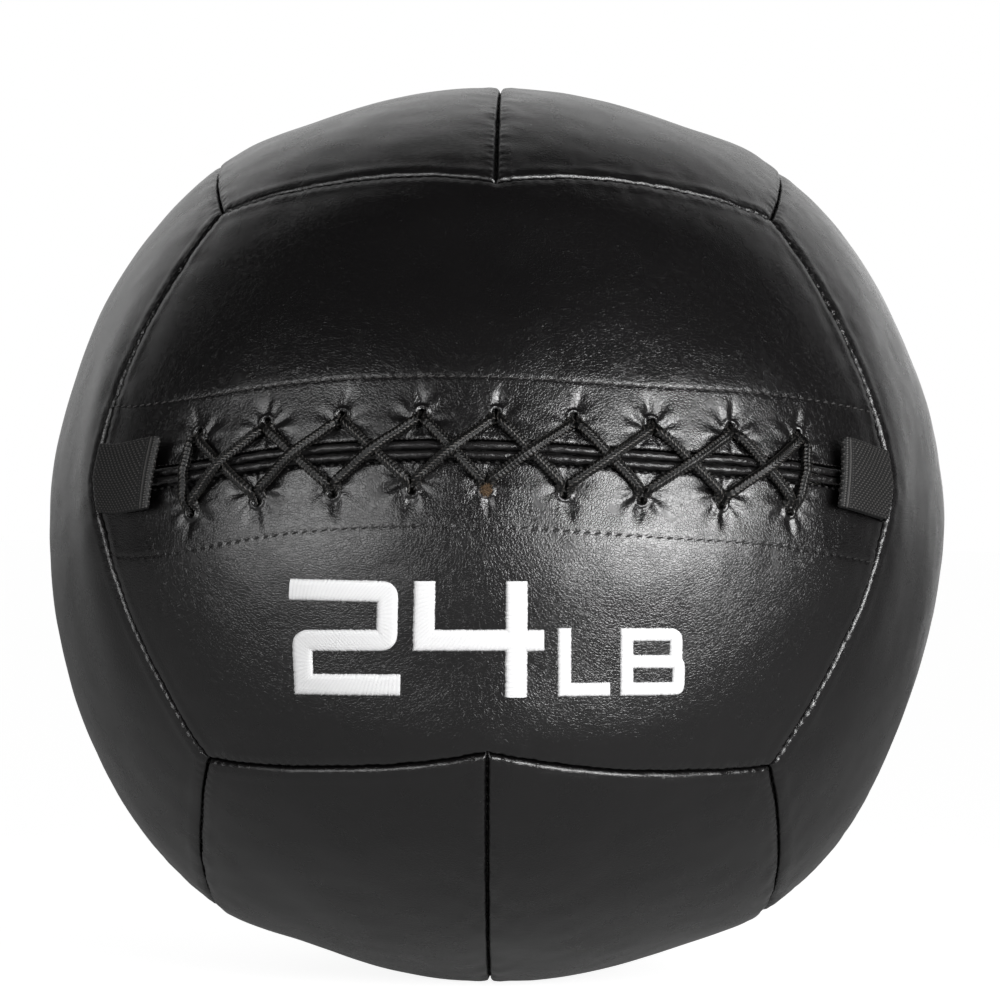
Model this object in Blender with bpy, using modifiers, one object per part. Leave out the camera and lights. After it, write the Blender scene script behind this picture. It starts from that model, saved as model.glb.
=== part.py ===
"""A laced, weighted exercise ball of synthetic leather, as separate pieces.

The cover is twelve panels in six pairs. The faces of a cube, swollen to a ball, are each split by a seam, and
the seam of each face ends in the edges of its neighbours. The front pair's seam is a laced slit. Behind it
are its facings and a placket, then the liner bag, the fibre filling and, at the centre, a bag of iron sand.

Metres, +Z up, with the floor at Z = 0. The ball's own frame has the laced face towards -Y, and leans back so
that this face looks a little upwards.
"""

import math

import bmesh
import bpy
import numpy as np
from mathutils import Vector

for thing in list(bpy.data.objects):
    bpy.data.objects.remove(thing, do_unlink=True)

part = bpy.data.collections.new("wall_ball")
cutters = bpy.data.collections.new("cutters")
bpy.context.scene.collection.children.link(part)
bpy.context.scene.collection.children.link(cutters)

# Driving dimensions of the whole ball
BALL_RADIUS = 0.1775
LEAN_BACK = math.radians(10)
REST_DEPTH = 0.0018
CLEARANCE = 0.0003
SHARP_ANGLE = math.radians(40)
ROUNDING = 1e-6

# Seams: how far a face's own seam runs to each side of the face's middle, and how far its ends and the cube's
# corners stand out of the ball. A seam end falls off slowly towards its own face, and fast beyond the end.
SEAM_END_ANGLE = math.radians(54.5)
SEAM_END_RISE = 0.0070
SEAM_END_OWN_SPREAD = math.radians(27)
SEAM_END_SIDE_SPREAD = math.radians(21)
SEAM_END_FAR_SPREAD = math.radians(8)
CORNER_RISE = 0.0036
CORNER_SPREAD = math.radians(22)

# Cover panels
LEATHER = 0.0014
ROLL_WIDTH = 0.004
ROLL_DEPTH = 0.0032
PANEL_SEGMENTS = 5
FRONT_SEGMENTS = 8

# The laced slit, in distances across it and along it from its middle
WELT_DIAMETER = 0.0032
WELT_PROUD = 0.001
WELT_POINTS = 25
WELT_END_INSET = 0.007
HEM_WIDTH = 0.0277
HEM_STEP = 0.0012
HEM_SHOULDER = 0.004
FACING_THICKNESS = 0.0012
FACING_END_INSET = 0.029
PLACKET_THICKNESS = 0.0012
PLACKET_WIDTH = 0.044
PLACKET_END_INSET = 0.038
STRIP_SEGMENTS = 24

# Lacing
LACE_DIAMETER = 0.004
LACE_COLUMNS = 9
LACE_END_INSET = 0.048
LACE_ROW = 0.0146
HOLE_PAIR_PITCH = 0.0068
HOLE_DIAMETER = 0.0052
HOLE_SIDES = 8
LACE_CROSSING_GAP = 0.0005
LACE_END_RUN = 0.007
KNOT_LENGTH = 0.0065
KNOT_THICKNESS = 0.0038
KNOT_SEGMENTS = 8
KNOT_RINGS = 6

# Webbing tabs at the ends of the slit
TAB_WIDTH = 0.0255
TAB_LENGTH = 0.033
WEBBING = 0.0015
TAB_LOOP_GAP = 0.0006
TAB_RUN_POINTS = 5
TAB_FOLD_POINTS = 5

# Liner, filling, weight bag and ballast
LINER_THICKNESS = 0.0008
LINER_DEPTH = 0.0056
LINER_SLIT = 0.003
LINER_SLACK = 0.0007
LINER_SEGMENTS = 3
CLOSURE_ROOM = 0.0052
CLOSURE_ROOM_REACH = 0.040
CLOSURE_ROOM_FADE = 0.016
PARTING_WIDTH = 0.110
PARTING_HEIGHT = 0.005
BAG_RADIUS = 0.080
BAG_CLOTH = 0.0012
BAG_BASE_RADIUS = 0.030
NECK_RADIUS = 0.011
NECK_HEIGHT = 0.012
NECK_BORE_RADIUS = 0.004
MOUTH_RADIUS = 0.019
MOUTH_HEIGHT = 0.014
TIE_DIAMETER = 0.004
TIE_SIDES = 8
TURNED_STEPS = 20
BAG_ARC_POINTS = 7

CUT_OVERRUN = 0.006


def smooth_step(value):
    """0 up to 0 and 1 from 1, with an even S between."""
    value = min(max(value, 0.0), 1.0)
    return value * value * (3 - 2 * value)


def unit(x, y, z):
    return Vector((x, y, z)).normalized()


def seam_end(face, along):
    """Where a face's own seam ends: turned from the face's middle towards the way that the seam runs."""
    return face * math.cos(SEAM_END_ANGLE) + along * math.sin(SEAM_END_ANGLE)


def way_home(face, along):
    """The way along a face's own seam, from the seam's end back to the face's middle."""
    return face * math.sin(SEAM_END_ANGLE) - along * math.cos(SEAM_END_ANGLE)


WAY_X = Vector((1, 0, 0))
WAY_Y = Vector((0, 1, 0))
WAY_Z = Vector((0, 0, 1))
# Each pair of opposite faces: the way it faces, the way its own seam runs, and the way across that seam
FACE_WAYS = ((WAY_X, WAY_Z, WAY_Y), (WAY_Y, WAY_X, WAY_Z), (WAY_Z, WAY_Y, WAY_X))
FRONT = -WAY_Y
# Each seam end, and the way along the seam from it back to its own face's middle
SEAM_ENDS = [
    (seam_end(face * face_sign, along * along_sign), way_home(face * face_sign, along * along_sign))
    for face, along, side in FACE_WAYS
    for face_sign in (-1, 1)
    for along_sign in (-1, 1)
]
CORNERS = [unit(x, y, z) for x in (-1, 1) for y in (-1, 1) for z in (-1, 1)]


def bell(away, spread):
    return math.exp(-((away / spread) ** 2))


def seam_end_rise(direction):
    """How far the seam ends lift the skin: a bell round each, whose spread depends on the way off the end."""
    total = 0.0
    for end, home in SEAM_ENDS:
        away = direction.angle(end)
        bearing = math.atan2(direction.dot(end.cross(home)), direction.dot(home))
        towards_home = away * math.cos(bearing)
        spread = SEAM_END_OWN_SPREAD if towards_home > 0 else SEAM_END_FAR_SPREAD
        total += bell(towards_home, spread) * bell(away * math.sin(bearing), SEAM_END_SIDE_SPREAD)
    return SEAM_END_RISE * total


def corner_rise(direction):
    return CORNER_RISE * sum(bell(direction.angle(corner), CORNER_SPREAD) for corner in CORNERS)


def across_slit(direction):
    """The distance across the slit at which a direction meets the ball, above it or below it."""
    return BALL_RADIUS * math.asin(max(-1.0, min(1.0, direction.z)))


def in_front(direction):
    """Whether a direction lies between the ends of the slit."""
    return direction.y < 0 and abs(math.atan2(direction.x, -direction.y)) <= SEAM_END_ANGLE + ROUNDING


def skin_radius(direction):
    """The cover's outer surface: the ball, its raised seam ends and corners, and the sunk hems by the slit."""
    radius = BALL_RADIUS + seam_end_rise(direction) + corner_rise(direction)
    if in_front(direction):
        beyond = abs(across_slit(direction)) - HEM_WIDTH
        radius -= HEM_STEP * (1 - smooth_step(beyond / HEM_SHOULDER))
    return radius


def on_ball(direction, depth=0.0):
    return direction * (skin_radius(direction) - depth)


def slit_direction(along, across):
    """The direction of a place given by its distances along the slit and across it."""
    longitude = along / BALL_RADIUS
    latitude = across / BALL_RADIUS
    level = math.cos(latitude)
    return Vector((math.sin(longitude) * level, -math.cos(longitude) * level, math.sin(latitude)))


def at_slit(along, across, height=0.0):
    """A place by the slit, at a height over the skin, or under it where the height is negative."""
    return on_ball(slit_direction(along, across), -height)


# The way down to the floor, in the ball's own frame, and the height of the ball's centre over the floor
DOWN = Vector((0, math.sin(LEAN_BACK), -math.cos(LEAN_BACK)))
CENTRE_HEIGHT = skin_radius(DOWN) - REST_DEPTH


def facet_sag(across, along):
    """How far a flat facet of this size cuts below the ball."""
    sides = (1 - math.cos(across / BALL_RADIUS / 2)) + (1 - math.cos(along / BALL_RADIUS / 2))
    return BALL_RADIUS * sides


# Along the slit: from its middle to its end, and the strips and the lacing that stop short of that end
SLIT_REACH = BALL_RADIUS * SEAM_END_ANGLE
FACING_LENGTH = 2 * (SLIT_REACH - FACING_END_INSET)
PLACKET_LENGTH = 2 * (SLIT_REACH - PLACKET_END_INSET)
LACE_PITCH = 2 * (SLIT_REACH - LACE_END_INSET) / (LACE_COLUMNS - 1)

# Depths of the layers behind the slit, each from the skin
PANEL_SAG = facet_sag(HEM_WIDTH, SLIT_REACH / FRONT_SEGMENTS)
FACING_SAG = facet_sag(HEM_WIDTH / 2, FACING_LENGTH / STRIP_SEGMENTS)
FACING_DEPTH = LEATHER + PANEL_SAG + CLEARANCE
LACE_TURN_DEPTH = FACING_DEPTH + FACING_THICKNESS + FACING_SAG + CLEARANCE + LACE_DIAMETER / 2
PLACKET_DEPTH = LACE_TURN_DEPTH + LACE_DIAMETER / 2 + CLEARANCE
PANEL_EDGE = WELT_DIAMETER + CLEARANCE / 2 + CLEARANCE
TAB_LIFT = WELT_PROUD + CLEARANCE


def add_empty(name, parent=None, location=(0, 0, 0), rotation=(0, 0, 0)):
    empty = bpy.data.objects.new(name, None)
    empty.location = location
    empty.rotation_euler = rotation
    empty.parent = parent
    part.objects.link(empty)
    return empty


def give_material(piece, colour, roughness, metallic=0.0):
    material = bpy.data.materials.new(piece.name)
    material.use_nodes = True
    shader = material.node_tree.nodes["Principled BSDF"]
    shader.inputs["Base Color"].default_value = (*colour, 1)
    shader.inputs["Roughness"].default_value = roughness
    shader.inputs["Metallic"].default_value = metallic
    piece.data.materials.append(material)


def add_piece(name, data, parent, colour, roughness, metallic=0.0):
    piece = bpy.data.objects.new(name, data)
    piece.parent = parent
    part.objects.link(piece)
    give_material(piece, colour, roughness, metallic)
    return piece


def add_cutter(name, mesh, parent):
    cutter = bpy.data.objects.new(name, mesh)
    cutter.parent = parent
    cutter.hide_render = True
    cutter.display_type = "WIRE"
    cutters.objects.link(cutter)
    return cutter


def cut(piece, cutter):
    boolean = piece.modifiers.new(cutter.name, "BOOLEAN")
    boolean.operation = "DIFFERENCE"
    boolean.solver = "EXACT"
    boolean.object = cutter


def thicken(piece, thickness):
    """Give an open surface its wall, inwards."""
    wall = piece.modifiers.new("wall", "SOLIDIFY")
    wall.thickness = thickness
    wall.offset = -1
    wall.use_even_offset = True


def mesh_from(bm, name, smooth=True):
    mesh = bpy.data.meshes.new(name)
    bm.to_mesh(mesh)
    bm.free()
    if smooth:
        mesh.shade_smooth()
        mesh.set_sharp_from_angle(angle=SHARP_ANGLE)
    return mesh


def face_outwards(bm):
    for face in bm.faces:
        if face.normal.dot(face.calc_center_median()) < 0:
            face.normal_flip()


def row_share(across):
    """How far up a panel a distance from its seam lies, as a share of the way to the panel's far seam."""
    far = math.pi / 2 - SEAM_END_ANGLE
    rise = math.tan(across / BALL_RADIUS)
    return rise / (math.sin(far) + rise * (1 - math.cos(far)))


def even_rows(first, count):
    return [first + (1 - first) * row / count for row in range(count + 1)]


def half_face(face, along, side, segments, rows, depth_at, slit_share=0.0):
    """Half of a face, from its own seam to its far seam, as a flat grid bent onto the ball.

    Along the face's seam the grid runs from one seam end over the middle to the other. Its far side runs from
    a cube corner to the end of the neighbour's seam and on to the next corner. A row lies its share of the way
    between, and the first row can draw back from the seam in the middle, to leave a slit.
    """
    bm = bmesh.new()
    bmesh.ops.create_grid(bm, x_segments=2 * segments, y_segments=len(rows) - 1, size=1)
    peak = seam_end(side, face)
    for vertex in bm.verts:
        sideways = vertex.co.x
        towards = along if sideways > 0 else -along
        row = round((vertex.co.y + 1) / 2 * (len(rows) - 1))
        share = rows[row] if row else rows[0] + slit_share * (1 - abs(sideways))
        foot = face.lerp(seam_end(face, towards), abs(sideways))
        head = peak.lerp((face + towards + side).normalized(), abs(sideways))
        direction = foot.lerp(head, share).normalized()
        vertex.co = on_ball(direction, depth_at(direction))
    bm.normal_update()
    face_outwards(bm)
    return bm


def flatten_underside(bm):
    """Press what lies below the floor up to it."""
    bmesh.ops.bisect_plane(
        bm,
        geom=bm.verts[:] + bm.edges[:] + bm.faces[:],
        plane_co=DOWN * CENTRE_HEIGHT,
        plane_no=DOWN,
    )
    for vertex in bm.verts:
        below = vertex.co.dot(DOWN) - CENTRE_HEIGHT
        if below > 0:
            vertex.co -= DOWN * below


def inset_edge(bm, width):
    """A band of faces of this width along the edge of the whole surface."""
    inset = bmesh.ops.inset_region(
        bm, faces=bm.faces[:], thickness=width, use_boundary=True, use_even_offset=True
    )
    return inset["faces"]


def cover_panel(name, face, along, side, parent):
    """One cover panel: trimmed by its half of the seam's gap, and rolled under along its seams."""
    laced = face == FRONT
    if laced:
        hem_rows = [row_share(place) for place in (PANEL_EDGE, HEM_WIDTH)]
        rows = hem_rows + even_rows(row_share(HEM_WIDTH + HEM_SHOULDER), PANEL_SEGMENTS - 1)
    else:
        rows = even_rows(0, PANEL_SEGMENTS)
    segments = FRONT_SEGMENTS if laced else PANEL_SEGMENTS
    bm = half_face(face, along, side, segments, rows, lambda direction: 0.0)
    trimmed = inset_edge(bm, CLEARANCE / 2)
    bmesh.ops.delete(bm, geom=trimmed, context="FACES")
    inset_edge(bm, ROLL_WIDTH)
    for vertex in bm.verts:
        at_hem = laced and abs(across_slit(vertex.co.normalized())) < HEM_WIDTH / 2
        if vertex.is_boundary and not at_hem:
            vertex.co -= vertex.co.normalized() * ROLL_DEPTH
    flatten_underside(bm)
    panel = add_piece(name, mesh_from(bm, name), parent, (0.030, 0.028, 0.029), 0.42)
    thicken(panel, LEATHER)
    return panel


def cover(parent):
    panels = {}
    names = (
        (("left", "right"), ("front", "rear")),
        (("front", "rear"), ("lower", "upper")),
        (("bottom", "top"), ("left", "right")),
    )
    for (face, along, side), (face_names, side_names) in zip(FACE_WAYS, names):
        for face_sign, face_name in zip((-1, 1), face_names):
            for side_sign, side_name in zip((-1, 1), side_names):
                name = f"{face_name}_{side_name}_panel"
                panels[name] = cover_panel(name, face * face_sign, along, side * side_sign, parent)
    return panels


def strip_on_ball(name, length, near, far, depth, thickness, parent, colour, roughness):
    """A flat strip cut to length, laid along the slit between two distances across it, bent to the ball."""
    bm = bmesh.new()
    bmesh.ops.create_grid(bm, x_segments=STRIP_SEGMENTS, y_segments=2, size=1)
    for vertex in bm.verts:
        across = near + (far - near) * (vertex.co.y + 1) / 2
        vertex.co = at_slit(vertex.co.x * length / 2, across, -depth)
    bm.normal_update()
    face_outwards(bm)
    strip = add_piece(name, mesh_from(bm, name), parent, colour, roughness)
    thicken(strip, thickness)
    return strip


def tube(name, points, diameter, resolution, parent, colour, roughness):
    """A round cord through the points, with its ends closed."""
    curve = bpy.data.curves.new(name, "CURVE")
    curve.dimensions = "3D"
    curve.bevel_depth = diameter / 2
    curve.bevel_resolution = resolution
    curve.use_fill_caps = True
    spline = curve.splines.new("POLY")
    spline.points.add(len(points) - 1)
    for point, place in zip(spline.points, points):
        point.co = (*place, 1)
    spline.use_smooth = True
    return add_piece(name, curve, parent, colour, roughness)


def welt(name, side, parent):
    """The rolled bead along one edge of the slit."""
    reach = SLIT_REACH - WELT_END_INSET
    across = side * (WELT_DIAMETER / 2 + CLEARANCE / 2)
    height = WELT_PROUD - WELT_DIAMETER / 2
    places = [reach * (2 * step / (WELT_POINTS - 1) - 1) for step in range(WELT_POINTS)]
    points = [at_slit(place, across, height) for place in places]
    return tube(name, points, WELT_DIAMETER, 1, parent, (0.040, 0.037, 0.038), 0.22)


# Places on the lace, counted from its column (0 to the left) and its row (1 above the slit, -1 below). Each is
# two holes with a bridge of leather between them.
def column_place(column):
    return (column - (LACE_COLUMNS - 1) / 2) * LACE_PITCH


def hole_place(column, row, side):
    return column_place(column) + side * HOLE_PAIR_PITCH / 2, row * LACE_ROW


# How the cord bends from a strand into a hole, nearest the hole last: away from the hole's axis and over the
# skin, in cord diameters
BEND_SHARES = ((0.70, 0.62), (0.20, 0.47), (0.0, 0.05))
# How a strand rises between its two bends: the share of its run, and its height over a strand that lies on
# the skin, in shares of its height at the crossing
UNDER_SHARES = ((0.36, 0.3), (0.5, 1.0), (0.64, 0.3))
OVER_SHARES = ((0.26, 0.08), (0.36, 0.50), (0.45, 1.0), (0.55, 1.0), (0.64, 0.50), (0.74, 0.08))
# The turn under a bridge, from the hole's axis: inwards in shares of half the holes' pitch, and the share of
# the way from the facing's inner side down to the turn's depth
TURN_SHARES = ((0.0, 0.0), (0.20, 0.75), (0.57, 1.0))

LIE_HEIGHT = LACE_DIAMETER / 2 + CLEARANCE
UNDER_HEIGHT = WELT_PROUD + LIE_HEIGHT
OVER_HEIGHT = UNDER_HEIGHT + LACE_DIAMETER + LACE_CROSSING_GAP


def strand(start, end, shape_shares, top):
    """The cord over the skin from one hole to another."""
    start, end = np.array(start), np.array(end)
    run = np.linalg.norm(end - start)
    way = (end - start) / run
    points = []
    for away_share, height_share in reversed(BEND_SHARES):
        place = start + way * away_share * LACE_DIAMETER
        points.append(at_slit(*place, height_share * LACE_DIAMETER))
    for run_share, rise_share in shape_shares:
        place = start + (end - start) * run_share
        points.append(at_slit(*place, LIE_HEIGHT + (top - LIE_HEIGHT) * rise_share))
    for away_share, height_share in BEND_SHARES:
        place = end - way * away_share * LACE_DIAMETER
        points.append(at_slit(*place, height_share * LACE_DIAMETER))
    return points


def turn(column, row, from_side):
    """The cord under the bridge of a place, from one of its holes to the other."""
    facing_inside = FACING_DEPTH + FACING_THICKNESS
    half = []
    for inward_share, depth_share in TURN_SHARES:
        depth = facing_inside + (LACE_TURN_DEPTH - facing_inside) * depth_share
        half.append((1 - inward_share, depth))
    places = half + [(-side, depth) for side, depth in reversed(half)]
    middle, across = column_place(column), row * LACE_ROW
    half_pitch = from_side * HOLE_PAIR_PITCH / 2
    return [at_slit(middle + side * half_pitch, across, -depth) for side, depth in places]


def cord_end(column, row, side):
    """The cord from a knot behind the facing to the hole, away from the bridge."""
    along, across = hole_place(column, row, side)
    facing_inside = FACING_DEPTH + FACING_THICKNESS
    bend = LACE_DIAMETER / 2
    return [
        at_slit(along + side * LACE_END_RUN, across, -LACE_TURN_DEPTH),
        at_slit(along + side * bend, across, -LACE_TURN_DEPTH),
        at_slit(along, across, -facing_inside),
    ]


def lace_route():
    """One cord: out through the lower left place, across and back in crosses, and in again where it began.

    On the way to the right the strands rise and fall in turn. The last place on the right is joined straight
    across, and so is the first, where the cord ends.
    """
    last = LACE_COLUMNS - 1
    visits = [(column, -1 if column % 2 == 0 else 1) for column in range(LACE_COLUMNS)]
    visits += [(column, -row) for column, row in reversed(visits)]
    visits.append(visits[0])
    route = cord_end(0, -1, 1)
    for (column, row), (next_column, next_row) in zip(visits, visits[1:]):
        if column == next_column:
            side = next_side = 1 if column == last else -1
            shape, top = UNDER_SHARES, UNDER_HEIGHT
        else:
            side = 1 if next_column > column else -1
            next_side = -side
            rising = (next_row > row) == (next_column > column)
            shape, top = (OVER_SHARES, OVER_HEIGHT) if rising else (UNDER_SHARES, UNDER_HEIGHT)
        start = hole_place(column, row, side)
        end = hole_place(next_column, next_row, next_side)
        route += strand(start, end, shape, top)
        if (next_column, next_row) != visits[0]:
            route += turn(next_column, next_row, next_side)
    route += reversed(cord_end(0, -1, -1))
    return route


def least_gap(points, diameter):
    """The least gap of a cord to itself, between places that are over four diameters apart along it."""
    places = np.array(points)
    steps = np.linalg.norm(np.diff(places, axis=0), axis=1)
    run = np.concatenate(([0], np.cumsum(steps)))
    fine = np.linspace(0, run[-1], int(run[-1] / (diameter / 4)))
    fine_places = np.stack([np.interp(fine, run, places[:, axis]) for axis in range(3)], axis=1)
    apart = np.linalg.norm(fine_places[:, None] - fine_places[None], axis=2)
    apart[np.abs(fine[:, None] - fine[None]) < 4 * diameter] = math.inf
    return float(apart.min()) - diameter, float(run[-1])


def lace_hole_cutter(row, parent):
    """Drills for all the holes of one row, square to the skin."""
    bm = bmesh.new()
    for column in range(LACE_COLUMNS):
        for side in (-1, 1):
            direction = slit_direction(*hole_place(column, row, side))
            outwards = direction.to_track_quat("Z", "Y").to_matrix().to_4x4()
            reach = FACING_DEPTH + FACING_THICKNESS
            outwards.translation = on_ball(direction, reach / 2)
            bmesh.ops.create_cone(
                bm,
                cap_ends=True,
                segments=HOLE_SIDES,
                radius1=HOLE_DIAMETER / 2,
                radius2=HOLE_DIAMETER / 2,
                depth=reach + 2 * CUT_OVERRUN,
                matrix=outwards,
            )
    name = "upper_lace_holes" if row > 0 else "lower_lace_holes"
    return add_cutter(name, mesh_from(bm, name, smooth=False), parent)


def closure(panels, parent):
    """What closes the slit: facings, welts, placket, lace and its knots."""
    for row, name in ((1, "upper"), (-1, "lower")):
        holes = lace_hole_cutter(row, parent)
        facing = strip_on_ball(
            f"{name}_hem_facing",
            FACING_LENGTH,
            row * (PANEL_EDGE + ROLL_WIDTH / 2),
            row * HEM_WIDTH,
            FACING_DEPTH,
            FACING_THICKNESS,
            parent,
            (0.05, 0.05, 0.05),
            0.8,
        )
        cut(facing, holes)
        cut(panels[f"front_{name}_panel"], holes)
        welt(f"{name}_welt", row, parent)
    strip_on_ball(
        "placket",
        PLACKET_LENGTH,
        -PLACKET_WIDTH / 2,
        PLACKET_WIDTH / 2,
        PLACKET_DEPTH,
        PLACKET_THICKNESS,
        parent,
        (0.045, 0.043, 0.043),
        0.6,
    )
    route = lace_route()
    tube("lace", route, LACE_DIAMETER, 1, parent, (0.020, 0.019, 0.019), 0.65)
    gap, length = least_gap(route, LACE_DIAMETER)
    print(f"lace: {length:.3f} m long, least gap to itself {gap * 1000:.2f} mm")
    for name, side in (("lace_start_knot", 1), ("lace_end_knot", -1)):
        lace_knot(name, side, parent)


def lace_knot(name, side, parent):
    """A flattened knot that stops the cord's end behind the facing."""
    along, across = hole_place(0, -1, side)
    along += side * (LACE_END_RUN + CLEARANCE + KNOT_LENGTH / 2)
    direction = slit_direction(along, across)
    bm = bmesh.new()
    bmesh.ops.create_uvsphere(bm, u_segments=KNOT_SEGMENTS, v_segments=KNOT_RINGS, radius=1)
    bmesh.ops.scale(bm, vec=(KNOT_LENGTH / 2, KNOT_LENGTH / 2, KNOT_THICKNESS / 2), verts=bm.verts)
    knot = add_piece(name, mesh_from(bm, name), parent, (0.020, 0.019, 0.019), 0.65)
    knot.location = on_ball(direction, LACE_TURN_DEPTH)
    knot.rotation_euler = direction.to_track_quat("Z", "Y").to_euler()


def tab_outline(side):
    """The folded webbing from its edge: its outer outline and the slim space inside the loop.

    Both follow the skin from the seam towards the slit's middle. Places are measured from the hinge axis.
    """
    thickness = 2 * WEBBING + TAB_LOOP_GAP
    seam_place = side * SLIT_REACH

    def place(inwards, height):
        return at_slit(seam_place - side * inwards, 0, height) - tab_axis(side)

    fold_centre = TAB_LENGTH - thickness / 2
    runs = [
        thickness / 2 + (fold_centre - thickness / 2) * step / (TAB_RUN_POINTS - 1)
        for step in range(TAB_RUN_POINTS)
    ]
    turns = [math.pi * step / (TAB_FOLD_POINTS + 1) for step in range(1, TAB_FOLD_POINTS + 1)]

    def loop(half, first):
        """Along the underside, round the fold, back along the top and round the root."""
        middle = TAB_LIFT + thickness / 2
        near = [run for run in runs if run >= first]
        under = [place(run, middle - half) for run in near]
        fold = [
            place(fold_centre + half * math.sin(angle), middle - half * math.cos(angle)) for angle in turns
        ]
        over = [place(run, middle + half) for run in reversed(near)]
        root = [
            place(near[0] - half * math.sin(angle), middle + half * math.cos(angle)) for angle in turns
        ]
        return under + fold + over + root

    return loop(thickness / 2, 0), loop(TAB_LOOP_GAP / 2, runs[1])


def tab_axis(side):
    """The line about which a tab folds: along the seam, in the middle of the webbing's root."""
    middle = TAB_LIFT + WEBBING + TAB_LOOP_GAP / 2
    root = WEBBING + TAB_LOOP_GAP / 2
    return at_slit(side * (SLIT_REACH - root), 0, middle)


def webbing_tab(name, side, parent):
    hinge = add_empty(f"{name}_hinge", parent, tab_axis(side))
    curve = bpy.data.curves.new(name, "CURVE")
    curve.dimensions = "2D"
    curve.fill_mode = "BOTH"
    curve.extrude = TAB_WIDTH / 2
    for outline in tab_outline(side):
        spline = curve.splines.new("POLY")
        spline.points.add(len(outline) - 1)
        for point, place in zip(spline.points, outline):
            point.co = (place.x, place.y, 0, 1)
        spline.use_cyclic_u = True
    return add_piece(name, curve, hinge, (0.018, 0.018, 0.019), 0.75)


def closure_room(direction):
    """How much deeper the liner lies behind the slit, to leave room for what closes it."""
    if not in_front(direction):
        return 0.0
    beyond = abs(across_slit(direction)) - CLOSURE_ROOM_REACH
    return CLOSURE_ROOM * (1 - smooth_step(beyond / CLOSURE_ROOM_FADE))


def inner_surface(depth, slit):
    """The whole ball at a depth under the skin, in one surface, with a slit at the front if one is given."""
    whole = bmesh.new()
    whole_mesh = bpy.data.meshes.new("inner_surface")
    for face, along, side in FACE_WAYS:
        for face_sign in (-1, 1):
            for side_sign in (-1, 1):
                middle = face * face_sign
                half = half_face(
                    middle,
                    along,
                    side * side_sign,
                    LINER_SEGMENTS,
                    even_rows(0, LINER_SEGMENTS),
                    lambda direction: depth + closure_room(direction),
                    row_share(slit / 2) if middle == FRONT else 0.0,
                )
                half.to_mesh(whole_mesh)
                half.free()
                whole.from_mesh(whole_mesh)
    bpy.data.meshes.remove(whole_mesh)
    return whole


def turned(name, profile, add, *look):
    """A shape turned about Z. Its profile of (radius, height) runs down the outer side."""
    mesh = bpy.data.meshes.new(name)
    corners = [(radius, 0, height) for radius, height in profile]
    mesh.from_pydata(corners, [(place, place + 1) for place in range(len(corners) - 1)], [])
    piece = add(name, mesh, *look)
    screw = piece.modifiers.new("turn", "SCREW")
    screw.steps = TURNED_STEPS
    screw.render_steps = TURNED_STEPS
    screw.use_merge_vertices = True
    screw.merge_threshold = CLEARANCE / 10
    screw.use_smooth_shade = True
    return piece


def bag_belly(radius):
    """The round of the bag at a radius, from its neck to its flat base, its corners at the same angles."""
    first = math.asin(NECK_RADIUS / BAG_RADIUS)
    last = math.pi - math.asin(BAG_BASE_RADIUS / BAG_RADIUS)
    angles = [first + (last - first) * step / BAG_ARC_POINTS for step in range(BAG_ARC_POINTS + 1)]
    return [(radius * math.sin(angle), radius * math.cos(angle)) for angle in angles]


def weight(parent):
    """The gathered bag, its tie and the iron sand in it."""
    neck_top = BAG_RADIUS + NECK_HEIGHT
    mouth_top = neck_top + MOUTH_HEIGHT
    outside = bag_belly(BAG_RADIUS)
    inside_wall = bag_belly(BAG_RADIUS - BAG_CLOTH)
    profile = [
        (0.0, inside_wall[-1][1]),
        *reversed(inside_wall),
        (NECK_BORE_RADIUS, BAG_RADIUS),
        (NECK_BORE_RADIUS, neck_top),
        (MOUTH_RADIUS - BAG_CLOTH, mouth_top),
        (MOUTH_RADIUS, mouth_top),
        (NECK_RADIUS, neck_top),
        *outside,
        (0.0, outside[-1][1]),
    ]
    turned("weight_bag", profile, add_piece, parent, (0.55, 0.52, 0.45), 0.85)

    bpy.ops.mesh.primitive_torus_add(
        major_segments=TURNED_STEPS,
        minor_segments=TIE_SIDES,
        major_radius=NECK_RADIUS + CLEARANCE + TIE_DIAMETER / 2,
        minor_radius=TIE_DIAMETER / 2,
    )
    ring = bpy.context.object
    tie = add_piece("weight_bag_tie", ring.data, parent, (0.30, 0.27, 0.22), 0.8)
    tie.location.z = BAG_RADIUS + NECK_HEIGHT / 2
    bpy.data.objects.remove(ring)

    sand = bag_belly(BAG_RADIUS - BAG_CLOTH - CLEARANCE)
    sand = [(0.0, sand[0][1]), *sand, (0.0, sand[-1][1])]
    turned("ballast", sand, add_piece, parent, (0.12, 0.11, 0.105), 0.7, 0.4)


def weight_room(parent):
    """The room in the filling for the bag, with a straight well for its neck, tie and mouth."""
    belly = bag_belly(BAG_RADIUS + CLEARANCE)
    well = MOUTH_RADIUS + CLEARANCE
    top = BAG_RADIUS + NECK_HEIGHT + MOUTH_HEIGHT + CLEARANCE
    profile = [(0.0, top), (well, top), (well, belly[0][1]), *belly[1:], (0.0, belly[-1][1])]
    return turned("weight_room", profile, add_cutter, parent)


def filling_parting(parent):
    """The parting in the fibre from the weight bag to the slit."""
    bm = bmesh.new()
    bmesh.ops.create_cube(bm, size=1)
    reach = BALL_RADIUS + CUT_OVERRUN
    bmesh.ops.scale(bm, vec=(PARTING_WIDTH, reach, PARTING_HEIGHT), verts=bm.verts)
    bmesh.ops.translate(bm, vec=(0, -reach / 2, 0), verts=bm.verts)
    return add_cutter("parting_cutter", mesh_from(bm, "parting_cutter", smooth=False), parent)


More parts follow.
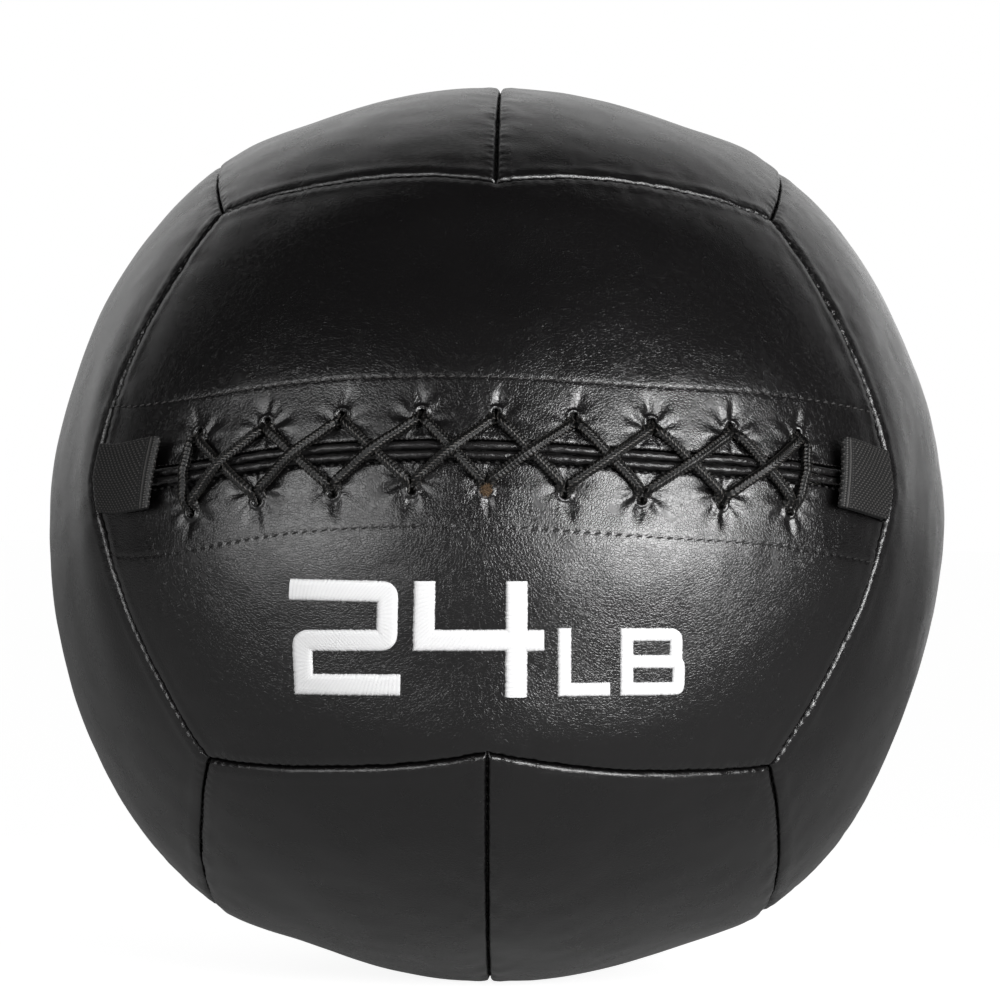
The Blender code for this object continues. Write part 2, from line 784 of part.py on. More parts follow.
def inside(parent):
    """The liner, the filling with its room for the weight, and the weight."""
    liner_mesh = inner_surface(LINER_DEPTH, LINER_SLIT)
    bmesh.ops.remove_doubles(liner_mesh, verts=liner_mesh.verts[:], dist=CLEARANCE / 10)
    liner = add_piece("liner_bag", mesh_from(liner_mesh, "liner_bag"), parent, (0.62, 0.61, 0.58), 0.8)
    thicken(liner, LINER_THICKNESS)

    filling_depth = LINER_DEPTH + LINER_THICKNESS + LINER_SLACK
    filling_mesh = inner_surface(filling_depth, 0.0)
    bmesh.ops.remove_doubles(filling_mesh, verts=filling_mesh.verts[:], dist=CLEARANCE / 10)
    filling_mesh = mesh_from(filling_mesh, "fibre_filling")
    filling = add_piece("fibre_filling", filling_mesh, parent, (0.75, 0.74, 0.70), 0.95)
    cut(filling, weight_room(parent))
    cut(filling, filling_parting(parent))
    weight(parent)


def build():
    ball = add_empty("ball_axis", location=(0, 0, CENTRE_HEIGHT), rotation=(-LEAN_BACK, 0, 0))
    panels = cover(ball)
    closure(panels, ball)
    webbing_tab("left_tab", -1, ball)
    webbing_tab("right_tab", 1, ball)
    inside(ball)


build()
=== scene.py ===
import math

import bpy
import numpy as np
from mathutils import Matrix, Vector


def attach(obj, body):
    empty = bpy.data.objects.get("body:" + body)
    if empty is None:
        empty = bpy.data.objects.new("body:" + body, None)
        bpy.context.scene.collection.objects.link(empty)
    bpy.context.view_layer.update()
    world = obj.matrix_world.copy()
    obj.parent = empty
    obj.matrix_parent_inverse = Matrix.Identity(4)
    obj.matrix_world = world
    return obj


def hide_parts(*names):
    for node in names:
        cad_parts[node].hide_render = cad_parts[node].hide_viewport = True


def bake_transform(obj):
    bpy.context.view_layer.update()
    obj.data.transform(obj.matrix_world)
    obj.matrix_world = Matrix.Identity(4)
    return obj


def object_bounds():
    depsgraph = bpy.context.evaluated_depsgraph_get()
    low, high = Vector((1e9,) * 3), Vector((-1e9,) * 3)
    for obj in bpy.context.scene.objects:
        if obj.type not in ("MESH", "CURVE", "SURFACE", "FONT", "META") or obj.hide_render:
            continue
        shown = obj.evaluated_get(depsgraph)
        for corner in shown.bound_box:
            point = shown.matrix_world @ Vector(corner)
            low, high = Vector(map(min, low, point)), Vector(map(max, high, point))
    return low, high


# The looks of a laced, weighted exercise ball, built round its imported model. Metres, +Z up, the floor at
# Z = 0 and the laced face towards -Y. The ball's own frame has the same axes, leant back about its middle.
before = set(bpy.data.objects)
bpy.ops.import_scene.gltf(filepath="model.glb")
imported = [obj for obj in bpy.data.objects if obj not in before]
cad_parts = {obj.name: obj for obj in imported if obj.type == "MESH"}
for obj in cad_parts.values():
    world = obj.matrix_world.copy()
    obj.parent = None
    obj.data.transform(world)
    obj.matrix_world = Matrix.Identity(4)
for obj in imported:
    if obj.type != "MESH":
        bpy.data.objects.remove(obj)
cad_box = [list(corner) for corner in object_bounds()]


# Camera: ten ball radii in front and level with the middle of the ball, as for a catalogue picture. It stands
# slightly to the right and is turned a little about its own line, because the ball lies so in the picture.
CAMERA_DISTANCE = 1.775
CAMERA_AZIMUTH, CAMERA_TURN = math.radians(0.75), math.radians(0.7)
PICTURE_SIDE = 1000
BALL_PIXEL = (496, 533)
LENS_MM, SENSOR_MM = 159.75, 36

ball_middle = Vector((0, 0, (cad_box[0][2] + cad_box[1][2]) / 2))
camera_data = bpy.data.cameras.new("camera")
camera_data.lens, camera_data.sensor_width = LENS_MM, SENSOR_MM
camera = bpy.data.objects.new("camera", camera_data)
bpy.context.scene.collection.objects.link(camera)
bpy.context.scene.camera = camera
way_to_camera = Vector((math.sin(CAMERA_AZIMUTH), -math.cos(CAMERA_AZIMUTH), 0))
camera_place = ball_middle + CAMERA_DISTANCE * way_to_camera
focal_pixels = LENS_MM / SENSOR_MM * PICTURE_SIDE
look_left, look_up = (math.atan((pixel - PICTURE_SIDE / 2) / focal_pixels) for pixel in BALL_PIXEL)
camera.matrix_world = (
    Matrix.Translation(camera_place)
    @ (ball_middle - camera_place).to_track_quat("-Z", "Y").to_matrix().to_4x4()
    @ Matrix.Rotation(CAMERA_TURN, 4, "Z")
    @ Matrix.Rotation(look_up, 4, "X")
    @ Matrix.Rotation(look_left, 4, "Y")
)


# Floor and light: a wide white floor, which shows as plain white but keeps the ball's shadow, in a white room
# with a dim ceiling. Two upright soft boxes stand in front, the right one brighter, and a weak one behind.
FLOOR_REACH = 60
FLOOR_COLOUR = (0.42, 0.42, 0.42, 1)
FLOOR_GLOW, FLOOR_GLOW_IN_SHINE = 0.90, 0.12
WHITE = (1, 1, 1, 1)
ROOM_IN_FRONT, ROOM_BEHIND = 0.02, 0.95
ROOM_TURNS_BRIGHT = (0.30, 0.88)
ROOM_LOW_SHARE, ROOM_HIGH_FROM = 0.5, 0.40
ROOM_FILL = 0.22
SOFT_BOX_DISTANCE, SOFT_BOX_HEIGHT = 0.80, 0.26
SOFT_BOX_SIZE = (0.48, 0.40)
# Each soft box: its angle round the ball from the camera, its radiance, and the angle its light fans out to
SOFT_BOXES = {
    "right_soft_box": (34, 2.25, 64),
    "left_soft_box": (-38, 0.68, 64),
    "rear_soft_box": (165, 0.45, 150),
}

bpy.context.scene.view_settings.view_transform = "Standard"


def put(tree, kind, inputs=None, **settings):
    """Add a node. An input given as another node's output is linked, and any other is set."""
    node = tree.nodes.new(kind)
    for name, value in settings.items():
        setattr(node, name, value)
    for name, value in (inputs or {}).items():
        if isinstance(value, bpy.types.NodeSocket):
            tree.links.new(value, node.inputs[name])
        else:
            node.inputs[name].default_value = value
    return node


def math_node(tree, operation, *values):
    return put(tree, "ShaderNodeMath", dict(enumerate(values)), operation=operation).outputs[0]


def spread(tree, value, low, high, to_low, to_high, **settings):
    """A value moved from one range to another."""
    limits = {"Value": value, "From Min": low, "From Max": high, "To Min": to_low, "To Max": to_high}
    return put(tree, "ShaderNodeMapRange", limits, **settings).outputs[0]


def mirrored(tree, ray):
    """1 for rays that come off a shine or through glass, and 0 for the rest."""
    return math_node(tree, "ADD", ray["Is Glossy Ray"], ray["Is Transmission Ray"])


def white_floor():
    """White for the camera and in reflections, and darker only where something shades it from the lamps."""
    material = bpy.data.materials.new("white_floor")
    material.use_nodes = True
    tree = material.node_tree
    tree.nodes.clear()
    ray = put(tree, "ShaderNodeLightPath").outputs
    shine = math_node(tree, "MULTIPLY", mirrored(tree, ray), FLOOR_GLOW_IN_SHINE)
    strength = math_node(tree, "MULTIPLY_ADD", ray["Is Camera Ray"], FLOOR_GLOW, shine)
    glow = put(tree, "ShaderNodeEmission", {"Color": WHITE, "Strength": strength})
    matt = put(tree, "ShaderNodeBsdfDiffuse", {"Color": FLOOR_COLOUR})
    both = put(tree, "ShaderNodeAddShader", {0: glow.outputs[0], 1: matt.outputs[0]})
    put(tree, "ShaderNodeOutputMaterial", {"Surface": both.outputs[0]})
    return material


floor_mesh = bpy.data.meshes.new("floor")
floor_corners = [(x * FLOOR_REACH, y * FLOOR_REACH, 0) for x, y in ((-1, -1), (1, -1), (1, 1), (-1, 1))]
floor_mesh.from_pydata(floor_corners, [], [(0, 1, 2, 3)])
floor_mesh.materials.append(white_floor())
floor = bpy.data.objects.new("floor", floor_mesh)
bpy.context.scene.collection.objects.link(floor)

# The world is white for the camera. In reflections it is a room, bright behind the ball and dim in front.
world = bpy.data.worlds.new("room")
world.use_nodes = True
bpy.context.scene.world = world
room = world.node_tree
room.nodes.clear()
room_ray = put(room, "ShaderNodeLightPath").outputs
room_way = put(room, "ShaderNodeTexCoord").outputs["Generated"]
room_ways = put(room, "ShaderNodeSeparateXYZ", {"Vector": room_way}).outputs
room_depth = spread(room, room_ways["Y"], *ROOM_TURNS_BRIGHT, ROOM_IN_FRONT, ROOM_BEHIND)
room_height = spread(room, room_ways["Z"], 0, ROOM_HIGH_FROM, ROOM_LOW_SHARE, 1)
room_shine = math_node(room, "MULTIPLY", room_depth, room_height)
shiny_part = math_node(room, "MULTIPLY", mirrored(room, room_ray), room_shine)
fill_part = math_node(room, "MULTIPLY", room_ray["Is Diffuse Ray"], ROOM_FILL)
lit_part = math_node(room, "ADD", shiny_part, fill_part)
room_strength = math_node(room, "MAXIMUM", room_ray["Is Camera Ray"], lit_part)
room_light = put(room, "ShaderNodeBackground", {"Color": WHITE, "Strength": room_strength})
put(room, "ShaderNodeOutputWorld", {"Surface": room_light.outputs[0]})

for box_name, (box_degrees, radiance, fan) in SOFT_BOXES.items():
    lamp = bpy.data.lights.new(box_name, "AREA")
    lamp.shape = "RECTANGLE"
    lamp.size, lamp.size_y = SOFT_BOX_SIZE
    lamp.energy = radiance * math.pi * lamp.size * lamp.size_y
    lamp.spread = math.radians(fan)
    box = bpy.data.objects.new(box_name, lamp)
    azimuth = math.radians(box_degrees)
    box_level = (SOFT_BOX_DISTANCE * math.sin(azimuth), -SOFT_BOX_DISTANCE * math.cos(azimuth))
    box.location = (*box_level, SOFT_BOX_HEIGHT)
    box.rotation_euler = (ball_middle - box.location).to_track_quat("-Z", "Y").to_euler()
    box.visible_camera = False
    bpy.context.scene.collection.objects.link(box)


# The skin that all outer pieces lie on: a ball with a seam across each of six faces, raised at the ends of
# those seams and at the corners between three faces, and a little slumped where it has lain. The hem by the
# laced slit is sunk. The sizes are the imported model's.
BALL_RADIUS = 0.1775
LEAN_BACK = math.radians(10)
REST_DEPTH = 0.0018
SEAM_END_ANGLE = math.radians(54.5)
SEAM_END_RISE = 0.0070
SEAM_END_OWN_SPREAD = math.radians(27)
SEAM_END_SIDE_SPREAD = math.radians(21)
SEAM_END_FAR_SPREAD = math.radians(8)
CORNER_RISE, CORNER_SPREAD = 0.0036, math.radians(22)
HEM_WIDTH, HEM_STEP, HEM_SHOULDER = 0.0277, 0.0001, 0.004
SLIT_REACH = BALL_RADIUS * SEAM_END_ANGLE
# How the soft slit wanders from a straight line: each bend's place along it, its spread and its height
SLIT_WANDERS = ((-0.128, 0.046, -0.0035), (0.055, 0.040, -0.0016))
WANDER_FADE = 0.022
# Each slump: its angle round the outline from the right, as the camera sees it, its spread and its height
SLUMPS = ((338, 13, -0.0032), (305, 8, -0.0022), (10, 12, 0.0015), (80, 12, -0.0010))
# Ripples are a sum of this many waves, whose lengths differ by these shares
RIPPLE_WAVES, RIPPLE_LENGTH_SHARES = 9, (0.7, 1.5)
SIGNS = (-1, 1)
WAY_X, WAY_Y, WAY_Z = np.eye(3)
# Each pair of opposite faces: the way it faces, the way its own seam runs, and the way across that seam
FACE_WAYS = ((WAY_X, WAY_Z, WAY_Y), (WAY_Y, WAY_X, WAY_Z), (WAY_Z, WAY_Y, WAY_X))


def unit(ways):
    return ways / np.linalg.norm(ways, axis=-1, keepdims=True)


def bell(away, spread):
    return np.exp(-((away / spread) ** 2))


def smooth_step(value):
    """0 up to 0 and 1 from 1, with an even S between."""
    value = np.clip(value, 0.0, 1.0)
    return value * value * (3 - 2 * value)


def angle_to(ways, way):
    return np.arccos(np.clip(ways @ way, -1, 1))


def seam_end(face, along):
    """Where a face's own seam ends: turned from the face's middle towards the way that the seam runs."""
    return face * math.cos(SEAM_END_ANGLE) + along * math.sin(SEAM_END_ANGLE)


def seam_end_rise(ways):
    """The sum of a bell round each seam end, slow towards the end's own face and fast beyond the end."""
    total = 0.0
    signed = [(face * one, along * other) for face, along, _ in FACE_WAYS for one in SIGNS for other in SIGNS]
    for face, along in signed:
        end = seam_end(face, along)
        home = face * math.sin(SEAM_END_ANGLE) - along * math.cos(SEAM_END_ANGLE)
        away = angle_to(ways, end)
        bearing = np.arctan2(ways @ np.cross(end, home), ways @ home)
        homewards = away * np.cos(bearing)
        reach = np.where(homewards > 0, SEAM_END_OWN_SPREAD, SEAM_END_FAR_SPREAD)
        total += bell(homewards, reach) * bell(away * np.sin(bearing), SEAM_END_SIDE_SPREAD)
    return SEAM_END_RISE * total


def corner_rise(ways):
    """The sum of an even bell round each of the eight corners."""
    corners = [unit(np.array((x, y, z))) for x in SIGNS for y in SIGNS for z in SIGNS]
    return CORNER_RISE * sum(bell(angle_to(ways, corner), CORNER_SPREAD) for corner in corners)


def lean(places):
    """From the ball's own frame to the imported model's ways: turned back about X."""
    x, y, z = np.moveaxis(places, -1, 0)
    cosine, sine = math.cos(LEAN_BACK), math.sin(LEAN_BACK)
    return np.stack((x, y * cosine + z * sine, z * cosine - y * sine), axis=-1)


def slumped(ways):
    """The sum of a bell at each slump, on the outline that the camera sees."""
    seen_ways = lean(ways)
    total = 0.0
    for degrees, reach, height in SLUMPS:
        turn = math.radians(degrees)
        slump = np.array((math.cos(turn), 0, math.sin(turn)))
        total += height * bell(angle_to(seen_ways, slump), math.radians(reach))
    return total


def slit_wander(along):
    """How far the slit lies above its straight line: a sum of bells, faded out towards both ends."""
    bends = sum(height * bell(along - place, reach) for place, reach, height in SLIT_WANDERS)
    return bends * smooth_step((SLIT_REACH - np.abs(along)) / WANDER_FADE)


def slit_places(ways):
    """The distances along the slit and across it at which directions meet the ball."""
    along = BALL_RADIUS * np.arctan2(ways[..., 0], -ways[..., 1])
    return along, BALL_RADIUS * np.arcsin(np.clip(ways[..., 2], -1, 1)) - slit_wander(along)


def slit_ways(along, across):
    """The directions of places given by their distances along the slit and across it."""
    across = across + slit_wander(along)
    longitude, latitude = np.broadcast_arrays(along / BALL_RADIUS, across / BALL_RADIUS)
    level = np.cos(latitude)
    return np.stack((np.sin(longitude) * level, -np.cos(longitude) * level, np.sin(latitude)), axis=-1)


def hem_step(across):
    return HEM_STEP * (1 - smooth_step((np.abs(across) - HEM_WIDTH) / HEM_SHOULDER))


def plain_radius(ways):
    return BALL_RADIUS + seam_end_rise(ways) + corner_rise(ways) + slumped(ways)


def at_slit(along, across, height=0.0):
    """Places by the slit in the ball's own frame, at a height over the skin or, where negative, under it."""
    ways = slit_ways(along, across)
    radius = plain_radius(ways) - hem_step(ways[..., 2] * BALL_RADIUS) + height
    return ways * radius[..., None]


DOWN = np.array((0, math.sin(LEAN_BACK), -math.cos(LEAN_BACK)))
CENTRE_HEIGHT = float(BALL_RADIUS + seam_end_rise(DOWN) + corner_rise(DOWN)) - REST_DEPTH


def in_place(places):
    """From the ball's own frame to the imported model's: leant back, and lifted to the ball's height."""
    placed = lean(places)
    placed[..., 2] += CENTRE_HEIGHT
    return placed


def ripples(places, wavelength, seed):
    """Smooth random bumps of about height 1: sine waves of about this length, in random ways, added up."""
    chance = np.random.default_rng(seed)
    ways = unit(chance.normal(size=(RIPPLE_WAVES, 3)))
    lengths = wavelength * chance.uniform(*RIPPLE_LENGTH_SHARES, RIPPLE_WAVES)
    phases = chance.uniform(0, 2 * math.pi, RIPPLE_WAVES)
    turns = (places @ way * 2 * math.pi / length + phase for way, length, phase in zip(ways, lengths, phases))
    return sum(map(np.sin, turns)) / math.sqrt(RIPPLE_WAVES / 2)


def grid_faces(rows, columns, wrap=False):
    """The four corners of each cell of a grid of places; with wrap, its last column joins its first."""
    cells = np.arange(rows - 1), np.arange(columns if wrap else columns - 1)
    row, column = np.meshgrid(*cells, indexing="ij")
    this, beside = row * columns + column, row * columns + (column + 1) % columns
    return np.stack((this, beside, beside + columns, this + columns), axis=-1)


def make_piece(name, places, faces, middles, material, uv=None, relief=None):
    """A piece from places and faces. Faces are turned to look away from the middles, given face by face.

    A relief goes with the mesh, place by place, for the piece's material to read.
    """
    faces = faces.reshape(-1, faces.shape[-1])
    flat = places.reshape(-1, 3)
    corners = flat[faces]
    normals = np.cross(corners[:, 2] - corners[:, 0], corners[:, 3] - corners[:, 1])
    turned = slice(None, None, -1 if np.sum(normals * (corners.mean(axis=1) - middles)) < 0 else 1)
    mesh = bpy.data.meshes.new(name)
    mesh.from_pydata(flat.tolist(), [], faces[:, turned].tolist())
    if uv is not None:
        corner_uv = uv.reshape(len(faces), -1, 2)[:, turned]
        mesh.uv_layers.new(name="weave").data.foreach_set("uv", corner_uv.astype(np.float32).ravel())
    if relief is not None:
        attribute = mesh.attributes.new("relief", "FLOAT", "POINT")
        attribute.data.foreach_set("value", relief.astype(np.float32).ravel())
    mesh.shade_smooth()
    mesh.materials.append(material)
    piece = bpy.data.objects.new(name, mesh)
    bpy.context.scene.collection.objects.link(piece)
    return piece


# Synthetic leather of the cover: a thin black film with a fine creased grain, on cloth. It shines softly, and
# more where it is stretched smooth.
LEATHER_COLOUR = (0.0030, 0.0027, 0.0029, 1)
LEATHER_WORN_COLOUR = (0.0050, 0.0046, 0.0048, 1)
LEATHER_GLOSS = 0.70
LEATHER_ROUGHNESS = (0.30, 0.23)
# Where the cloudy mask begins and ends to change the leather's colour and its shine
WORN_CLOUD, SHINE_CLOUD = (0.35, 0.7), (0.3, 0.7)
GRAIN_SIZE, GRAIN_DEPTH = 0.0011, 0.000065
# The grain's drift and its pebble are finer or coarser than the cells by these shares
DRIFT_FINENESS_SHARE, DRIFT_SIZE_SHARE, PEBBLE_FINENESS_SHARE = 0.4, 1.8, 2.2
CREASE_WIDTH_SHARE, CREASE_HEIGHT_SHARE, PEBBLE_HEIGHT_SHARE = 0.22, 0.6, 0.8
CLOUD_FINENESS, CLOUD_ROUGHNESS = 38, 0.6


def new_group(name, inputs, outputs):
    """An empty node group with these inputs, each with its value, and these outputs, all plain numbers."""
    group = bpy.data.node_groups.new(name, "ShaderNodeTree")
    for socket_name, value in inputs.items():
        socket = group.interface.new_socket(socket_name, in_out="INPUT", socket_type="NodeSocketFloat")
        socket.default_value = value
    for socket_name in outputs:
        group.interface.new_socket(socket_name, in_out="OUTPUT", socket_type="NodeSocketFloat")
    return group


def noise(tree, place, fineness, detail, **more):
    """The output of smooth noise over these places."""
    inputs = {"Vector": place, "Scale": fineness, "Detail": detail, **more}
    return put(tree, "ShaderNodeTexNoise", inputs).outputs


def creased_grain():
    """A node group: creases round small cells, with a finer pebble on them, and a slow cloudy mask."""
    group = new_group("creased_grain", {"Grain Size": GRAIN_SIZE}, ("Height", "Cloud"))
    size = put(group, "NodeGroupInput").outputs["Grain Size"]
    place = put(group, "ShaderNodeTexCoord").outputs["Object"]
    fineness = math_node(group, "DIVIDE", 1, size)
    drift = noise(group, place, math_node(group, "MULTIPLY", fineness, DRIFT_FINENESS_SHARE), 2)["Color"]
    drift_size = math_node(group, "MULTIPLY", size, DRIFT_SIZE_SHARE)
    moved = put(group, "ShaderNodeVectorMath", {0: drift, "Scale": drift_size}, operation="SCALE").outputs[0]
    bent = put(group, "ShaderNodeVectorMath", {0: place, 1: moved}, operation="ADD").outputs[0]
    cell_inputs = {"Vector": bent, "Scale": fineness}
    cells = put(group, "ShaderNodeTexVoronoi", cell_inputs, feature="DISTANCE_TO_EDGE")
    edge = cells.outputs["Distance"]
    creases = spread(group, edge, 0, CREASE_WIDTH_SHARE, 0, 1, interpolation_type="SMOOTHSTEP")
    pebble = noise(group, bent, math_node(group, "MULTIPLY", fineness, PEBBLE_FINENESS_SHARE), 1)[0]
    crease_part = math_node(group, "MULTIPLY", creases, CREASE_HEIGHT_SHARE)
    height = math_node(group, "MULTIPLY_ADD", pebble, PEBBLE_HEIGHT_SHARE, crease_part)
    cloud = noise(group, place, CLOUD_FINENESS, 4, Roughness=CLOUD_ROUGHNESS)[0]
    put(group, "NodeGroupOutput", {"Height": height, "Cloud": cloud})
    return group


CREASED_GRAIN = creased_grain()


def two_tone(tree, mask, first, second):
    """A colour between two, by a mask."""
    mix = put(tree, "ShaderNodeMix", {"Factor": mask}, data_type="RGBA")
    mix.inputs["A"].default_value = first
    mix.inputs["B"].default_value = second
    return [socket for socket in mix.outputs if socket.type == "RGBA"][0]


def new_material(name, roughness=0.5):
    """A material with only its Principled shader and output. Gives its node tree and shader too."""
    material = bpy.data.materials.new(name)
    material.use_nodes = True
    shader = material.node_tree.nodes["Principled BSDF"]
    shader.inputs["Roughness"].default_value = roughness
    return material, material.node_tree, shader


def set_look(tree, shader, colour, height, depth, roughness=None):
    """Colour, relief of this depth and, where given, roughness, all varying over the surface."""
    tree.links.new(colour, shader.inputs["Base Color"])
    bump = put(tree, "ShaderNodeBump", {"Height": height, "Distance": depth})
    tree.links.new(bump.outputs[0], shader.inputs["Normal"])
    if roughness is not None:
        tree.links.new(roughness, shader.inputs["Roughness"])


def cover_leather():
    material, tree, shader = new_material("cover_leather")
    grain = put(tree, "ShaderNodeGroup", {}, node_tree=CREASED_GRAIN).outputs
    worn = spread(tree, grain["Cloud"], *WORN_CLOUD, 0, 1)
    colour = two_tone(tree, worn, LEATHER_COLOUR, LEATHER_WORN_COLOUR)
    roughness = spread(tree, grain["Cloud"], *SHINE_CLOUD, *LEATHER_ROUGHNESS)
    shader.inputs["Specular IOR Level"].default_value = LEATHER_GLOSS
    set_look(tree, shader, colour, grain["Height"], GRAIN_DEPTH, roughness)
    return material


# Cover panels: twelve panels of the leather in six pairs, sewn edge to edge inside out and turned, so that
# each edge rolls down into a narrow groove. The stitches draw the edges in every few millimetres, and the
# filling crowns each panel between its seams.
LEATHER = 0.0014
SEAM_GAP, SEAM_ROLL, SEAM_DEPTH = 0.0003, 0.0017, 0.0024
SEAM_LIP, SEAM_LIP_PLACE, SEAM_LIP_WIDTH = 0.00022, 0.0042, 0.0020
SEAM_STITCH = 0.0040
SEAM_PULL, SEAM_PULL_REACH = 0.00034, 0.0030
# Heights of the uneven bumps, and about how long their waves are
SEAM_PUCKER, SEAM_PUCKER_WAVE, SEAM_PUCKER_REACH = 0.00016, 0.011, 0.0075
SWELL, SWELL_WAVE = 0.00014, 0.048
DRAPE, DRAPE_WAVE = 0.00004, 0.013
CROWN, CROWN_REACH = 0.0007, 0.012
PANEL_COLUMNS, PANEL_ROWS = 240, 84
PANEL_COLUMNS_PULL, PANEL_ROWS_PULL = 0.35, 0.8
# Half the gap in a seam, in shares of a panel's way across and along its own seam
GAP_SHARE_ACROSS = SEAM_GAP / 2 / (BALL_RADIUS * (math.pi / 2 - SEAM_END_ANGLE))
GAP_SHARE_ALONG = SEAM_GAP / 2 / SLIT_REACH


def closer_at_ends(count, pull):
    """Shares from 0 to 1 that lie closer together at both ends: a straight run less a sine of this pull."""
    even = np.linspace(0, 1, count)
    return even - pull * np.sin(2 * math.pi * even) / (2 * math.pi)


def panel_corners(face, along, side):
    """A panel's corners in turn: its own seam's ends, a corner of three faces, the end of the seam beside it
    and another corner of three faces."""
    first, last = unit(face + along + side), unit(face - along + side)
    return seam_end(face, -along), seam_end(face, along), first, seam_end(side, face), last


def near_seam(ways, first, last):
    """The distance to the seam between two corners, and how far along the seam that is. A seam is an arc."""
    across = unit(np.cross(first, last))
    length = math.acos(np.clip(first @ last, -1, 1))
    onwards = np.cross(across, first)
    place = np.clip(np.arctan2(ways @ onwards, ways @ first), 0, length)
    nearest = first * np.cos(place)[..., None] + onwards * np.sin(place)[..., None]
    return BALL_RADIUS * np.linalg.norm(ways - nearest, axis=-1), BALL_RADIUS * place


def seam_relief(ways, corners, laced):
    """The height of a panel over the skin by its seams: the rolled edge, a lip, stitch pulls and puckers."""
    sides = list(zip(corners, corners[1:] + corners[:1]))[1 if laced else 0 :]
    away, run = np.moveaxis([near_seam(ways, first, last) for first, last in sides], 1, 0)
    run = np.take_along_axis(run, np.argmin(away, axis=0)[None], axis=0)[0]
    away = np.min(away, axis=0)
    rolled = 1 - np.clip((away - SEAM_GAP / 2) / SEAM_ROLL, 0, 1)
    height = -SEAM_DEPTH * (1 - np.sqrt(1 - rolled**2))
    height += SEAM_LIP * bell(away - SEAM_LIP_PLACE, SEAM_LIP_WIDTH)
    pull = (0.5 + 0.5 * np.cos(2 * math.pi * run / SEAM_STITCH)) ** 2
    height -= SEAM_PULL * bell(away, SEAM_PULL_REACH) * pull
    places = ways * BALL_RADIUS
    height += SEAM_PUCKER * ripples(places, SEAM_PUCKER_WAVE, 3) * np.exp(-away / SEAM_PUCKER_REACH)
    height -= CROWN * np.exp(-away / CROWN_REACH)
    return height + SWELL * ripples(places, SWELL_WAVE, 5) + DRAPE * ripples(places, DRAPE_WAVE, 6)


def panel_ways(face, along, side, sideways, shares):
    """Directions on a panel. Sideways runs from -1 to 1 along its own seam, and shares from 0 to 1 across it.

    A foot point slides from the face's middle to its seam's end, and a head point from the end of the seam
    beside to the corner, both straight. The place is its share of the way from foot to head.
    """
    foot, head = panel_rails(face, along, side, sideways)
    return unit(foot + (head - foot) * shares[..., None])


def panel_rails(face, along, side, sideways):
    """The foot and head points of places this far sideways."""
    outwards = np.abs(sideways)[..., None]
    towards = np.where(sideways[..., None] < 0, -along, along)
    peak = seam_end(side, face)
    foot = face + (seam_end(face, towards) - face) * outwards
    return foot, peak + (unit(face + towards + side) - peak) * outwards


def finish_panel(name, places, faces, material):
    """The panel's piece: pressed flat on the floor, its wall inwards, riding with the ball, and its imported
    part hidden.
    """
    places[..., 2] = np.maximum(places[..., 2], 0)
    panel = make_piece(f"{name}_leather", places, faces, np.array((0, 0, CENTRE_HEIGHT)), material)
    wall = panel.modifiers.new("wall", "SOLIDIFY")
    wall.thickness = LEATHER
    wall.offset = -1
    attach(panel, "ball")
    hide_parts(name)


def plain_panel(name, face, along, side, material):
    """A panel without the slit."""
    sideways = (2 * closer_at_ends(PANEL_COLUMNS, PANEL_COLUMNS_PULL) - 1) * (1 - GAP_SHARE_ALONG)
    shares = closer_at_ends(PANEL_ROWS, PANEL_ROWS_PULL)
    shares = GAP_SHARE_ACROSS + (1 - 2 * GAP_SHARE_ACROSS) * shares
    sideways, shares = np.meshgrid(sideways, shares)
    ways = panel_ways(face, along, side, sideways, shares)
    radius = plain_radius(ways) + seam_relief(ways, panel_corners(face, along, side), laced=False)
    finish_panel(name, in_place(ways * radius[..., None]), grid_faces(*sideways.shape), material)


PANEL_NAMES = (
    (("left", "right"), ("front", "rear")),
    (("front", "rear"), ("lower", "upper")),
    (("bottom", "top"), ("left", "right")),
)
LEATHER_MATERIAL = cover_leather()
for (panel_face, panel_along, panel_side), (face_names, side_names) in zip(FACE_WAYS, PANEL_NAMES):
    for face_sign, face_name in zip(SIGNS, face_names):
        for side_sign, side_name in zip(SIGNS, side_names):
            if face_name != "front":
                panel_way = (panel_face * face_sign, panel_along, panel_side * side_sign)
                plain_panel(f"{face_name}_{side_name}_panel", *panel_way, LEATHER_MATERIAL)


# Laced panels: the front pair, whose own seam is open. Each edge of the slit is folded under to a wide hem,
# topstitched along its inner edge, and holed in pairs for the lace, which puckers the leather where it pulls.
PANEL_EDGE = 0.0036
LACE_COLUMNS, LACE_END_INSET, LACE_ROW = 9, 0.048, 0.0146
LACE_PITCH = 2 * (SLIT_REACH - LACE_END_INSET) / (LACE_COLUMNS - 1)
# How far the cord, pulled tight by hand, has shifted each place along the slit, from left to right
LACE_SHIFTS = (0.0059, 0.0040, 0.0034, 0.0030, 0.0001, -0.0013, -0.0026, -0.0019, -0.0032)
# The upper places have shifted this far to the right and the lower ones to the left
ROW_SHIFT = 0.0016
HOLE_PAIR_PITCH = 0.0046
# Each pair of holes has torn into one opening: where the cord enters it, and its outer end, the eye
ENTRY_PITCH, ENTRY_ROW, ENTRY_RADIUS = 0.0034, 0.0108, 0.0018
EYE_ROW, EYE_RADIUS = 0.0145, 0.0015
